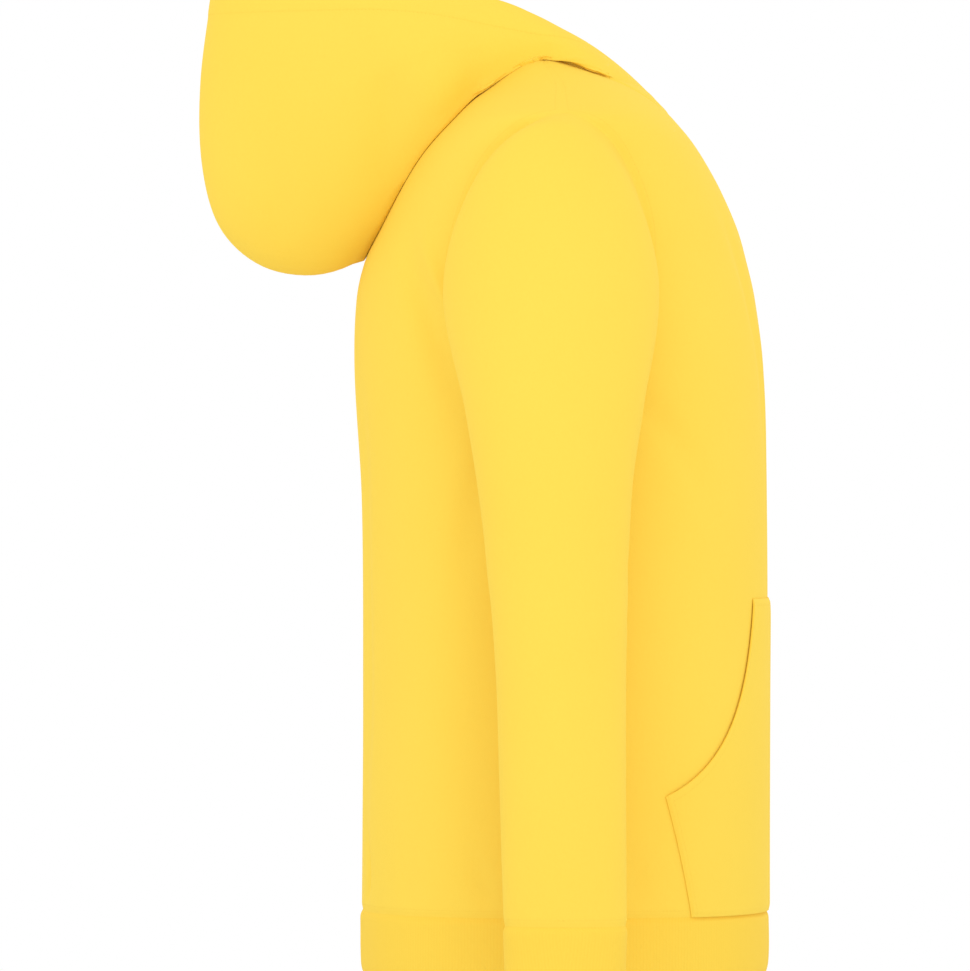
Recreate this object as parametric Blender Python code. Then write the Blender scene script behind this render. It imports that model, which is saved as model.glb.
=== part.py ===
"""Pullover hoodie with its hood down: the sewn pieces, filled out as if worn.

Frame: +Z is up, the wearer faces -Y and the wearer's left is +X. The origin lies midway between
the two neck points, the ends of the shoulder seams at the neck, where the shoulders hold it up.
Sizes in the tables and constants are millimetres; the meshes are metres.
"""

import math

import bpy
from mathutils import Vector

MM = 0.001

# ---------------------------------------------------------------- driving dimensions
FLEECE = 2.4                # wall of the body, sleeves, hood and pocket
RIB = 3.2                   # wall of the doubled hem band and cuffs
SEAM = 0.3                  # gap between two pieces at their seam
POCKET_STANDOFF = 0.8       # gap under the flat pocket
HOOD_REST = 3.0             # gap between the fallen hood and the back it lies on

HEM_SEAM_Z = -647.0
BAND_HEIGHT = 54.0
BAND_PROUD = 1.3            # the band stands this far out of the body at its top

FRONT_NECK_DROP = 44.0
FRONT_NECK_POWER = 2.4
BACK_NECK_DROP = 20.0
NECK_MIDDLE_Y = -18.0
NECK_COLUMN_ANGLE = 58.0    # degrees round from the side: the panel line below the neck point

ARMHOLE_TOP_Z = -48.0
ARMHOLE_BOTTOM_Z = -232.0
ARMHOLE_HALF_TOP = 66.0     # half width from front to back, near the shoulder
ARMHOLE_HALF_GAIN = 26.0    # what the half width gains towards the underarm
ARMHOLE_SHIFT = 5.0         # its middle lies this far behind the side seam

CUFF_SEAM_Z = -648.0
CUFF_HEIGHT = 58.0

POCKET_TOP_Z = -410.0
POCKET_TOP_HALF = 99.0
POCKET_CORNER_Z = -557.0
POCKET_CORNER_HALF = 169.0
POCKET_BEND_Z = -490.0      # control point of the curved hand opening
POCKET_BEND_HALF = 109.0
POCKET_FOOT_HALF = 155.0
POCKET_GAPE = 1.8           # the hand openings stand this much further out

# Level sections of the body. Between rows it is a smooth curve.
# height, half width, front y, back y, squareness of the section
BODY_SECTIONS = (
    (6.0, 84.0, -8.0, 8.0, 2.2),
    (0.0, 100.0, -22.0, 20.0, 2.2),
    (-7.0, 116.0, -39.0, 32.0, 2.2),
    (-15.0, 134.0, -60.0, 41.0, 2.2),
    (-24.0, 155.0, -79.0, 51.0, 2.2),
    (-36.0, 184.0, -92.0, 63.0, 2.3),
    (-49.0, 211.0, -104.0, 74.0, 2.3),
    (-63.0, 212.0, -115.5, 86.0, 2.4),
    (-79.0, 208.0, -126.0, 98.0, 2.4),
    (-101.0, 203.0, -138.0, 110.0, 2.4),
    (-130.0, 196.0, -150.5, 123.0, 2.4),
    (-155.0, 191.0, -157.5, 134.0, 2.4),
    (-183.0, 187.0, -164.0, 140.0, 2.4),
    (-237.0, 183.0, -171.0, 141.5, 2.5),
    (-336.0, 184.0, -173.5, 136.0, 2.5),
    (-488.0, 183.0, -173.0, 135.0, 2.5),
    (-590.0, 180.0, -172.7, 135.5, 2.5),
    (-660.0, 177.0, -172.7, 136.0, 2.5),
)

# Sections of the sleeve, from the armhole down, for the wearer's left.
# x and height of its outer line, x and height of its inner line, middle y, half depth in y,
# and how much fuller the underarm side is than a plain oval
SLEEVE_SECTIONS = (
    (233.0, -59.0, 188.0, -237.0, -7.0, 76.0, 0.52),
    (256.0, -86.0, 190.5, -245.0, -7.0, 77.5, 0.48),
    (276.0, -126.0, 192.5, -258.0, -7.5, 76.5, 0.38),
    (290.0, -176.0, 194.5, -276.0, -8.5, 72.5, 0.26),
    (299.0, -232.0, 197.0, -302.0, -9.0, 66.0, 0.12),
    (305.0, -300.0, 200.5, -345.0, -9.5, 57.5, 0.0),
    (308.0, -380.0, 206.0, -405.0, -12.0, 51.5, 0.0),
    (308.0, -460.0, 212.0, -472.0, -14.0, 48.0, 0.0),
    (306.0, -530.0, 220.0, -536.0, -15.0, 46.8, 0.0),
    (303.0, -595.0, 229.0, -597.0, -16.0, 46.0, 0.0),
    (300.0, -647.8, 237.0, -647.8, -17.0, 45.2, 0.0),
)

# Loops of the hood, from the neckline to the edge of its opening, for the wearer's left. Each
# runs from the front of the neck, past the neck's side and the pouch's, to the centre seam.
# front y, z; neck side x, y, z; pouch side x, y, z; pouch back x, y, z; back y, z
HOOD_LOOPS = (
    (-98.0, -42.4, 104.0, -51.5, -16.5, 101.0, -1.0, 1.5, 90.0, 25.0, -8.0, 46.5, -17.0),
    (-96.2, -40.6, 104.5, -49.5, -14.0, 102.5, 4.0, 0.0, 90.0, 34.0, -16.0, 50.0, -22.0),
    (-94.0, -38.2, 105.0, -47.5, -11.0, 104.0, 9.5, -3.5, 91.0, 45.0, -26.5, 62.0, -41.0),
    (-91.6, -35.6, 105.0, -45.0, -7.5, 104.5, 16.0, -8.0, 93.0, 57.0, -37.5, 85.0, -69.0),
    (-89.1, -33.0, 105.0, -42.0, -4.0, 105.5, 22.0, -12.5, 95.0, 69.0, -50.0, 114.0, -119.0),
    (-86.6, -30.4, 104.5, -38.5, 0.0, 106.5, 28.0, -16.0, 98.0, 80.0, -62.0, 136.0, -151.0),
    (-84.1, -27.8, 104.0, -34.5, 4.0, 108.5, 31.0, -9.0, 103.0, 86.0, -55.0, 172.0, -164.0),
    (-81.6, -25.2, 103.0, -30.5, 8.0, 111.0, 35.0, 0.0, 108.0, 95.0, -43.0, 213.0, -157.0),
    (-79.1, -22.7, 101.0, -26.5, 12.0, 112.0, 39.0, 10.0, 111.0, 108.0, -27.0, 244.0, -129.0),
    (-76.6, -20.3, 98.0, -22.5, 15.5, 111.0, 42.0, 21.0, 112.0, 122.0, -6.0, 258.0, -82.0),
    (-74.2, -18.0, 94.0, -18.0, 18.5, 108.0, 45.0, 33.0, 108.0, 136.0, 23.0, 259.5, -18.0),
    (-71.8, -15.8, 90.0, -13.0, 21.4, 102.0, 47.0, 44.0, 98.0, 146.0, 56.0, 250.0, 58.0),
)

HOOD_POUCH_ROUNDNESS = 2.0  # 1 leaves the pouch's back pointed

SHOULDER_COLUMNS = 5
NECK_COLUMNS = 6
SKIRT_ROWS = 7
ARMHOLE_ROWS = 10
SLEEVE_SEGMENTS = 2 * ARMHOLE_ROWS    # a point for each point of the armhole
CUFF_SEGMENTS = 20
BAND_SEGMENTS = 36
HOOD_COLUMNS = 2 * NECK_COLUMNS       # a point for each point of the neckline
POCKET_ROWS = 7
POCKET_TOP_COLUMNS = 4      # in each half of the straight top edge
POCKET_OPENING_COLUMNS = 6
POCKET_CROWDING = 1.8       # its columns crowd towards the low corner, where the body turns most

YELLOW = (0.991, 0.730, 0.098, 1.0)
RIB_YELLOW = (0.985, 0.690, 0.085, 1.0)


# ---------------------------------------------------------------- smooth curves through rows
def smooth_row(rows, key):
    """The row at a key, on a smooth curve through rows sorted by their first column."""
    if rows[0][0] > rows[-1][0]:
        rows = rows[::-1]
    last = len(rows) - 1
    i = 0
    while i < last - 1 and key > rows[i + 1][0]:
        i += 1
    low, high = rows[i], rows[i + 1]
    span = high[0] - low[0]
    t = (key - low[0]) / span
    before = rows[max(i - 1, 0)]
    after = rows[min(i + 2, last)]
    out = [key]
    for c in range(1, len(low)):
        slope_low = (high[c] - before[c]) / (high[0] - before[0])
        slope_high = (after[c] - low[c]) / (after[0] - low[0])
        out.append(
            (2 * t ** 3 - 3 * t ** 2 + 1) * low[c]
            + (t ** 3 - 2 * t ** 2 + t) * span * slope_low
            + (3 * t ** 2 - 2 * t ** 3) * high[c]
            + (t ** 3 - t ** 2) * span * slope_high
        )
    return out


def blend(a, b, t):
    return a + (b - a) * t


# ---------------------------------------------------------------- the body's surface
def body_point(angle, z, out=0.0):
    """A point of the body at an angle round from +X (front is 90 degrees) and a height."""
    half, front, back, square = smooth_row(BODY_SECTIONS, z)[1:]
    c, s = math.cos(angle), math.sin(angle)
    k = (abs(c) ** square + abs(s) ** square) ** (-1.0 / square)
    middle = (front + back) / 2
    depth = (back - front) / 2
    point = Vector((half * k * c, middle - depth * k * s, z))
    if out:
        point += body_normal(angle, z) * out
    return point


def body_normal(angle, z):
    step_angle, step_z = 0.01, 0.5
    round_way = body_point(angle + step_angle, z) - body_point(angle - step_angle, z)
    up_way = body_point(angle, z + step_z) - body_point(angle, z - step_z)
    normal = up_way.cross(round_way)
    normal.normalize()
    return normal


def seam_y(z):
    row = smooth_row(BODY_SECTIONS, z)
    return (row[2] + row[3]) / 2


def angle_at_y(y, z):
    """The angle, on the +X side, at which the section at this height passes this y."""
    half, front, back, square = smooth_row(BODY_SECTIONS, z)[1:]
    s = ((front + back) / 2 - y) / ((back - front) / 2)
    s = max(-1.0, min(1.0, s))
    c = (1 - abs(s) ** square) ** (1 / square)
    return math.atan2(s, c)


def angle_at_x(x, z):
    """The angle, on the front, at which the section at this height passes this x."""
    half, front, back, square = smooth_row(BODY_SECTIONS, z)[1:]
    c = x / half
    s = (1 - abs(c) ** square) ** (1 / square)
    return math.atan2(s, c)


def armhole(turn):
    """Angle and height of the armhole's edge; turn is 0 at the shoulder, 90 degrees in front."""
    middle = (ARMHOLE_TOP_Z + ARMHOLE_BOTTOM_Z) / 2
    z = middle + (ARMHOLE_TOP_Z - middle) * math.cos(turn)
    half = ARMHOLE_HALF_TOP + ARMHOLE_HALF_GAIN * ((1 - math.cos(turn)) / 2) ** 2
    y = seam_y(z) + ARMHOLE_SHIFT * math.sin(turn) ** 2 - half * math.sin(turn)
    return angle_at_y(y, z), z


def neckline(angle):
    drop, power = (FRONT_NECK_DROP, FRONT_NECK_POWER) if angle > 0 else (BACK_NECK_DROP, 2.0)
    return -drop * abs(math.sin(angle)) ** power


# ---------------------------------------------------------------- closed walls from two skins
def wall_object(name, outer, inner, closed_rows, material, collection):
    """A closed wall between two grids of points, whose rows may be closed loops."""
    rows, columns = len(outer), len(outer[0])
    points = [p * MM for row in outer for p in row] + [p * MM for row in inner for p in row]
    inner_start = rows * columns
    around = columns if closed_rows else columns - 1

    def at(r, c, skin):
        return skin * inner_start + r * columns + c % columns

    faces = []

    def quad(a, b, c, d, other_way=None):
        """Two triangles of the quad a b c d, split along its shorter diagonal if not told."""
        if other_way is None:
            other_way = (points[b] - points[d]).length < (points[a] - points[c]).length
        if other_way:
            faces.extend(((a, b, d), (b, c, d)))
        else:
            faces.extend(((a, b, c), (a, c, d)))
        return other_way

    for r in range(rows - 1):
        for c in range(around):
            corners = (at(r, c, 0), at(r, c + 1, 0), at(r + 1, c + 1, 0), at(r + 1, c, 0))
            way = quad(*corners)
            a, b, c2, d = (i + inner_start for i in corners)
            quad(a, d, c2, b, other_way=way)
    end = rows - 1
    for c in range(around):
        quad(at(0, c, 1), at(0, c + 1, 1), at(0, c + 1, 0), at(0, c, 0))
        quad(at(end, c, 0), at(end, c + 1, 0), at(end, c + 1, 1), at(end, c, 1))
    if not closed_rows:
        last = columns - 1
        for r in range(end):
            quad(at(r, 0, 0), at(r + 1, 0, 0), at(r + 1, 0, 1), at(r, 0, 1))
            quad(at(r, last, 1), at(r + 1, last, 1), at(r + 1, last, 0), at(r, last, 0))
    mesh = bpy.data.meshes.new(name)
    mesh.from_pydata(points, [], faces)
    mesh.shade_smooth()
    mesh.set_sharp_from_angle(angle=math.radians(40))
    mesh.materials.append(material)
    piece = bpy.data.objects.new(name, mesh)
    collection.objects.link(piece)
    return piece


def mirrored(grid):
    """The same grid on the other side, with its rows turned round so faces still point out."""
    return [[Vector((-p.x, p.y, p.z)) for p in reversed(row)] for row in grid]


def grid_normals(grid, closed_rows):
    """Unit normals at a grid's points: the mean of the normals of the quads that meet there."""
    rows, columns = len(grid), len(grid[0])
    around = columns if closed_rows else columns - 1
    sums = [[Vector((0, 0, 0)) for _ in range(columns)] for _ in range(rows)]
    for r in range(rows - 1):
        for c in range(around):
            d = (c + 1) % columns
            face = (grid[r + 1][d] - grid[r][c]).cross(grid[r + 1][c] - grid[r][d]).normalized()
            for rr, cc in ((r, c), (r, d), (r + 1, c), (r + 1, d)):
                sums[rr][cc] += face
    return [[n.normalized() for n in line] for line in sums]


def inside(grid, normals, wall):
    return [[p - n * wall for p, n in zip(*rows)] for rows in zip(grid, normals)]


# ---------------------------------------------------------------- front, back and pocket
def panel_edges(side):
    """Side, top and bottom lines of half a panel, as (angle, height); side is 1 front, -1 back."""
    quarter = math.pi / 2
    drop = FRONT_NECK_DROP if side > 0 else BACK_NECK_DROP
    left, right = [], []
    foot = HEM_SEAM_Z + SEAM / 2
    for i in range(SKIRT_ROWS):
        z = blend(foot, ARMHOLE_BOTTOM_Z, i / SKIRT_ROWS)
        left.append((0.0, z))
        right.append((quarter * side, z))
    for i in range(ARMHOLE_ROWS + 1):
        part = i / ARMHOLE_ROWS
        left.append(armhole(math.pi * (1 - part) * side))
        right.append((quarter * side, blend(ARMHOLE_BOTTOM_Z, -drop, part)))
    top, bottom = [], []
    column = math.radians(NECK_COLUMN_ANGLE)
    for i in range(SHOULDER_COLUMNS):
        part = i / SHOULDER_COLUMNS
        top.append((0.0, ARMHOLE_TOP_Z * (1 - part)))
        bottom.append((column * part * side, foot))
    for i in range(NECK_COLUMNS + 1):
        part = i / NECK_COLUMNS
        angle = quarter * part * side
        top.append((angle, neckline(angle)))
        bottom.append((blend(column, quarter, part) * side, foot))
    return left, right, top, bottom


def half_panel(side):
    """Angles and heights over half a panel, filled in between its four edges."""
    left, right, top, bottom = panel_edges(side)
    rows, columns = len(left) - 1, len(top) - 1
    grid = []
    for r in range(rows + 1):
        v = (r / rows) ** 3        # the top edge's shape fades quickly below the shoulders
        line = []
        for c in range(columns + 1):
            u = c / columns
            value = []
            for k in (0, 1):
                sides = blend(left[r][k], right[r][k], u)
                ends = blend(bottom[c][k], top[c][k], v)
                low, high = (blend(left[n][k], right[n][k], u) for n in (0, rows))
                corners = blend(low, high, v)
                value.append(sides + ends - corners)
            line.append(value)
        grid.append(line)
    return grid


def whole_panel(side):
    """Outer and inner skins of the front (side 1) or the back (side -1)."""
    outer, inner = [], []
    seam_shift = Vector((0, -side * SEAM / 2, 0))
    for line in half_panel(side):
        half_outer, half_inner = [], []
        for angle, z in line:
            point = body_point(angle, z)
            thin = point - body_normal(angle, z) * FLEECE
            if abs(angle) < 1e-6:
                point = point + seam_shift
                thin = thin + seam_shift
            half_outer.append(point)
            half_inner.append(thin)
        outer.append(half_outer)
        inner.append(half_inner)
    full = []
    for half in (outer, inner):
        other = mirrored(half)
        full.append([line + far[1:] for line, far in zip(half, other)])
    if side > 0:
        full = [[list(reversed(line)) for line in grid] for grid in full]
    return full


def opening_point(part):
    """Half width and height on the curved hand opening, from its low corner (0) to the top (1)."""
    low = (POCKET_CORNER_HALF, POCKET_CORNER_Z)
    bend = (POCKET_BEND_HALF, POCKET_BEND_Z)
    top = (POCKET_TOP_HALF, POCKET_TOP_Z)
    return [blend(blend(a, b, part), blend(b, c, part), part) for a, b, c in zip(low, bend, top)]


def pocket_columns():
    """Half width at the foot and at the top of each column, its top height and its gape."""
    columns = []
    taper = POCKET_FOOT_HALF / POCKET_CORNER_HALF
    for i in range(POCKET_OPENING_COLUMNS):
        part = (i / POCKET_OPENING_COLUMNS) ** POCKET_CROWDING
        half, top = opening_point(part)
        columns.append((half * taper, half, top, POCKET_GAPE * math.sin(math.pi * part)))
    for i in range(POCKET_TOP_COLUMNS + 1):
        half = POCKET_TOP_HALF * (1 - i / POCKET_TOP_COLUMNS)
        columns.append((half * taper, half, POCKET_TOP_Z, 0.0))
    return columns


def pocket_skins():
    foot = HEM_SEAM_Z + SEAM / 2
    outer, inner = [], []
    for r in range(POCKET_ROWS + 1):
        part = r / POCKET_ROWS
        line_out, line_in = [], []
        for foot_half, top_half, top, gape in pocket_columns():
            z = blend(foot, top, part)
            angle = angle_at_x(blend(foot_half, top_half, part), z)
            lift = POCKET_STANDOFF + gape * part ** 4
            line_in.append(body_point(angle, z, lift))
            line_out.append(body_point(angle, z, lift + FLEECE))
        outer.append(line_out)
        inner.append(line_in)
    skins = []
    for half in (outer, inner):
        whole = [line + far[1:] for line, far in zip(half, mirrored(half))]
        skins.append([list(reversed(line)) for line in whole])
    return skins


# ---------------------------------------------------------------- sleeve, cuff and hem band
def armhole_rim(turn):
    """Outer and inner points of the sleeve's first ring, a seam's gap beyond the armhole."""
    angle, z = armhole(turn)
    point = body_point(angle, z)
    normal = body_normal(angle, z)
    step = 0.05
    ahead = body_point(*armhole(turn + step)) - body_point(*armhole(turn - step))
    beyond = ahead.cross(normal).normalized()
    hole_middle = Vector((point.x, seam_y(z), (ARMHOLE_TOP_Z + ARMHOLE_BOTTOM_Z) / 2))
    if beyond.dot(hole_middle - point) < 0:
        beyond = -beyond
    rim = (point + beyond * SEAM, point - normal * FLEECE + beyond * SEAM)
    return rim[0], rim[1], rim[0] + (beyond * 3.0 + normal * 0.6)


def section_ring(row, segments):
    outer_x, outer_z, inner_x, inner_z, mid_y, half_y, full = row
    middle = Vector(((outer_x + inner_x) / 2, mid_y, (outer_z + inner_z) / 2))
    reach = Vector(((outer_x - inner_x) / 2, 0, (outer_z - inner_z) / 2))
    ring = []
    for i in range(segments):
        turn = 2 * math.pi * i / segments
        fuller = 1 + full * (((1 - math.cos(turn)) / 2) ** 2 - 0.25)
        ring.append(middle + reach * math.cos(turn) + Vector((0, -half_y * fuller * math.sin(turn), 0)))
    return ring


def sleeve_skins():
    turns = [2 * math.pi * i / SLEEVE_SEGMENTS for i in range(SLEEVE_SEGMENTS)]
    rims = [armhole_rim(turn) for turn in turns]
    outer = [[rim[0] for rim in rims], [rim[2] for rim in rims]]
    outer += [section_ring(row, SLEEVE_SEGMENTS) for row in SLEEVE_SECTIONS]
    normals = grid_normals(outer, True)
    inner = inside(outer, normals, FLEECE)
    inner[0] = [rim[1] for rim in rims]
    return outer, inner


def cuff_skins():
    outer_x, outer_z, inner_x, inner_z, mid_y, half_y, full = SLEEVE_SECTIONS[-1]
    profile = ((0.0, 0.6), (8.0, 0.4), (30.0, -0.4), (50.0, -1.2), (CUFF_HEIGHT, -2.6))
    outer, inner = [], []
    for down, proud in profile:
        z = CUFF_SEAM_Z - SEAM / 2 - down
        row = (outer_x + proud, z, inner_x - proud, z, mid_y, half_y + proud, full)
        thin = (outer_x + proud - RIB, z, inner_x - proud + RIB, z, mid_y, half_y + proud - RIB, full)
        outer.append(section_ring(row, CUFF_SEGMENTS))
        inner.append(section_ring(thin, CUFF_SEGMENTS))
    return outer, inner


def band_skins():
    proud_foot = BAND_PROUD - 0.5
    profile = ((0.0, BAND_PROUD), (8.0, BAND_PROUD), (40.0, proud_foot), (48.0, -1.0), (BAND_HEIGHT, -4.5))
    outer, inner = [], []
    for down, proud in profile:
        z = HEM_SEAM_Z - SEAM / 2 - down
        line_out, line_in = [], []
        for i in range(BAND_SEGMENTS):
            angle = 2 * math.pi * i / BAND_SEGMENTS
            point = body_point(angle, HEM_SEAM_Z, proud)
            thin = body_point(angle, HEM_SEAM_Z, proud - RIB)
            line_out.append(Vector((point.x, point.y, z)))
            line_in.append(Vector((thin.x, thin.y, z)))
        outer.append(line_out)
        inner.append(line_in)
    return outer, inner


# ---------------------------------------------------------------- hood
def rest_on_body(point, gap):
    """Moves a point that is inside the body, or nearer to it than the gap, out to the gap."""
    for _ in range(6):
        half, front, back, square = smooth_row(BODY_SECTIONS, min(point.z, 5.0))[1:]
        middle, depth = (front + back) / 2, (back - front) / 2
        c, s = abs(point.x) / half, abs(point.y - middle) / depth
        reach = (c ** square + s ** square) ** (1 / square)
        if reach > 1.6:
            return point
        angle = math.atan2((middle - point.y) / depth, point.x / half)
        normal = body_normal(angle, min(point.z, 5.0))
        surface = body_point(angle, min(point.z, 5.0))
        distance = (point - surface).dot(normal)
        if distance >= gap:
            return point
        point = point + normal * (gap - distance)
    return point


def hood_loop(row):
    """A smooth half loop through its five named points; both its ends cross the middle square on."""
    front = Vector((0, row[0], row[1]))
    neck_side, pouch_side, pouch_back = Vector(row[2:5]), Vector(row[5:8]), Vector(row[8:11])
    back = Vector((0, row[11], row[12]))
    before_front = neck_side * Vector((-1, 1, 1))
    after_back = pouch_back * Vector((-HOOD_POUCH_ROUNDNESS, 1, 1))
    knots = (before_front, front, neck_side, pouch_side, pouch_back, back, after_back)
    steps = HOOD_COLUMNS // 4
    line = []
    for i in range(HOOD_COLUMNS + 1):
        k = min(i // steps, 3)
        t = i / steps - k
        before, low, high, after = knots[k:k + 4]
        slope_low, slope_high = (high - before) / 2, (after - low) / 2
        line.append(
            low * (2 * t ** 3 - 3 * t ** 2 + 1)
            + slope_low * (t ** 3 - 2 * t ** 2 + t)
            + high * (3 * t ** 2 - 2 * t ** 3)
            + slope_high * (t ** 3 - t ** 2)
        )
    return line


def hood_skins():
    turns = [math.pi / 2 - math.pi * i / HOOD_COLUMNS for i in range(HOOD_COLUMNS + 1)]
    foot_out, foot_in, stand = [], [], []
    for angle in turns:
        z = neckline(angle)
        point = body_point(angle, z)
        normal = body_normal(angle, z)
        ends = [body_point(a, neckline(a)) for a in (angle - 0.02, angle + 0.02)]
        ahead = ends[0] - ends[1]
        beyond = normal.cross(ahead).normalized()
        if beyond.dot(Vector((0, NECK_MIDDLE_Y, point.z)) - point) < 0:
            beyond = -beyond
        foot_out.append(point + beyond * SEAM)
        foot_in.append(point - normal * FLEECE + beyond * SEAM)
        stand.append(point + beyond * 1.6 + Vector((0, 0, 2.0 * math.cos(angle) ** 2)))
    outer = [foot_out, stand]
    for number, row in enumerate(HOOD_LOOPS):
        loop = hood_loop(row)
        if number > 0:
            loop = [rest_on_body(p, HOOD_REST) for p in loop]
        outer.append(loop)
    normals = grid_normals(outer, False)
    for line in normals:
        for n in (line[0], line[-1]):
            n.x = 0.0
            n.normalize()
    inner = inside(outer, normals, FLEECE)
    inner[0] = foot_in
    for grid in (outer, inner):
        for line in grid:
            line[0].x = SEAM / 2
            line[-1].x = SEAM / 2
    return outer, inner


# ---------------------------------------------------------------- the object
def cloth(name, colour, roughness):
    material = bpy.data.materials.new(name)
    material.use_nodes = True
    shader = material.node_tree.nodes["Principled BSDF"]
    shader.inputs["Base Color"].default_value = colour
    shader.inputs["Roughness"].default_value = roughness
    shader.inputs["Metallic"].default_value = 0.0
    return material


def pair(name, skins, closed_rows, material, collection):
    """The wearer's left piece and its mirror image on the right."""
    outer, inner = skins
    wall_object(name + "_left", outer, inner, closed_rows, material, collection)
    wall_object(name + "_right", mirrored(outer), mirrored(inner), closed_rows, material, collection)


def main():
    for old in list(bpy.data.objects):
        bpy.data.objects.remove(old, do_unlink=True)
    collection = bpy.data.collections.new("hoodie")
    bpy.context.scene.collection.children.link(collection)
    fleece = cloth("fleece", YELLOW, 0.9)
    rib = cloth("rib", RIB_YELLOW, 0.9)

    wall_object("front", *whole_panel(1), False, fleece, collection)
    wall_object("back", *whole_panel(-1), False, fleece, collection)
    wall_object("pocket", *pocket_skins(), False, fleece, collection)
    wall_object("hem_band", *band_skins(), True, rib, collection)
    pair("sleeve", sleeve_skins(), True, fleece, collection)
    pair("cuff", cuff_skins(), True, rib, collection)
    pair("hood", hood_skins(), False, fleece, collection)


main()
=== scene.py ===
import math

import bpy
import numpy as np
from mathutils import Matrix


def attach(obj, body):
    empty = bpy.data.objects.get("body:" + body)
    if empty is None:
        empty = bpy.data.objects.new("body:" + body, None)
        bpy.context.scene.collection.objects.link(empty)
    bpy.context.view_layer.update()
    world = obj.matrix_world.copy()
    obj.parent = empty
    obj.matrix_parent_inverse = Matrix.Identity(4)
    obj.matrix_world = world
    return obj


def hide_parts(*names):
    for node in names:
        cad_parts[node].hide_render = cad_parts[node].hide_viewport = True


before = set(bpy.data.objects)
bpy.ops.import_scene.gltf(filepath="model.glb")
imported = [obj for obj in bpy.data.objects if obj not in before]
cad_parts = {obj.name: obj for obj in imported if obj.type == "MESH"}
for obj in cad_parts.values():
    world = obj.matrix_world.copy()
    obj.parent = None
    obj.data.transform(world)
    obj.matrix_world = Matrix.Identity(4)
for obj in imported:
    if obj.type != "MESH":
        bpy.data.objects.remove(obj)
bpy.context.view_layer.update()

bl_info = {
    "name": "Pullover hoodie",
    "version": (1, 0, 0),
    "blender": (4, 5, 0),
    "location": "3D View > Sidebar > Hoodie",
    "description": "Sewn pieces of a fleece hoodie with its hood down, and a plain studio",
    "category": "Mesh",
}

MM = 0.001
MIRROR = np.array((-1.0, 1.0, 1.0))

# ---------------------------------------------------------------- the garment's pattern, in mm
# The same sections, loops and seam lines as the solids'. Height is from the neck points.
HEM_SEAM_Z = -647.0
BAND_HEIGHT = 54.0
BAND_PROUD = 1.3
FRONT_NECK_DROP = 44.0
FRONT_NECK_POWER = 2.4
BACK_NECK_DROP = 20.0
NECK_MIDDLE_Y = -18.0
NECK_COLUMN_ANGLE = math.radians(58.0)
# a panel's grid, before its rows and columns are divided: rows below the armhole and beside it,
# columns under the shoulder seam and under half the neckline, and how late they lean to the neck
SKIRT_ROWS, SCYE_ROWS = 7.0, 10.0
SHOULDER_COLUMNS, NECK_COLUMNS = 5.0, 6.0
PANEL_LEAN = 3

ARMHOLE_TOP_Z = -48.0
ARMHOLE_BOTTOM_Z = -232.0
ARMHOLE_HALF_TOP = 66.0
ARMHOLE_HALF_GAIN = 26.0
ARMHOLE_SHIFT = 5.0
# the ring just beyond the armhole, and how far the sleeve takes to turn out of the body's surface
SLEEVE_HEAD_OUT = 3.0
SLEEVE_HEAD_RISE = 0.6
SLEEVE_HEAD_TURN = 3.0
SLEEVE_KNOT_TURNS = 181

CUFF_SEAM_Z = -648.0
CUFF_HEIGHT = 58.0
# how far the ribs stand out: drop from the seam, then distance out
CUFF_PROFILE = ((0.0, 0.6), (8.0, 0.4), (30.0, -0.4), (50.0, -1.2), (CUFF_HEIGHT, -2.6))
BAND_PROFILE = (
    (0.0, BAND_PROUD), (8.0, BAND_PROUD), (40.0, BAND_PROUD - 0.5), (48.0, -1.0), (BAND_HEIGHT, -4.5),
)
# soft waves round the ribs: depth, how many to the round, and where they start in radians
CUFF_WAVES = ((0.35, 3, 0.7), (0.25, 7, 2.0))
BAND_WAVES = ((0.5, 5, 0.4), (0.4, 11, 1.9), (0.3, 17, 0.0))
CUFF_SWELL, BAND_SWELL = 0.9, 0.8
RIB_SEAM_REACH = 3.0

POCKET_TOP_Z = -410.0
POCKET_TOP_HALF = 99.0
POCKET_CORNER_Z = -557.0
POCKET_CORNER_HALF = 169.0
POCKET_BEND_Z = -490.0
POCKET_BEND_HALF = 109.0
POCKET_FOOT_HALF = 155.0
POCKET_GAPE = 0.25
POCKET_GAPE_POWER = 4
POCKET_OPENING_POWER = 1.8
# the pocket's gap from the front where it is sewn, and further amounts with how far they reach
POCKET_LIFT = 0.2
POCKET_SWELL, POCKET_SWELL_REACH = 0.5, 7.0
POCKET_EDGE_THINNING, POCKET_EDGE_REACH = 0.55, 1.6
POCKET_FOOT_CLOSING, POCKET_FOOT_REACH = 0.4, 3.0
# below the top fourteenth of each opening the cloth is free, as if this far from the sewn top
POCKET_FREE = 60.0
POCKET_FREE_FALL = 14.0

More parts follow.
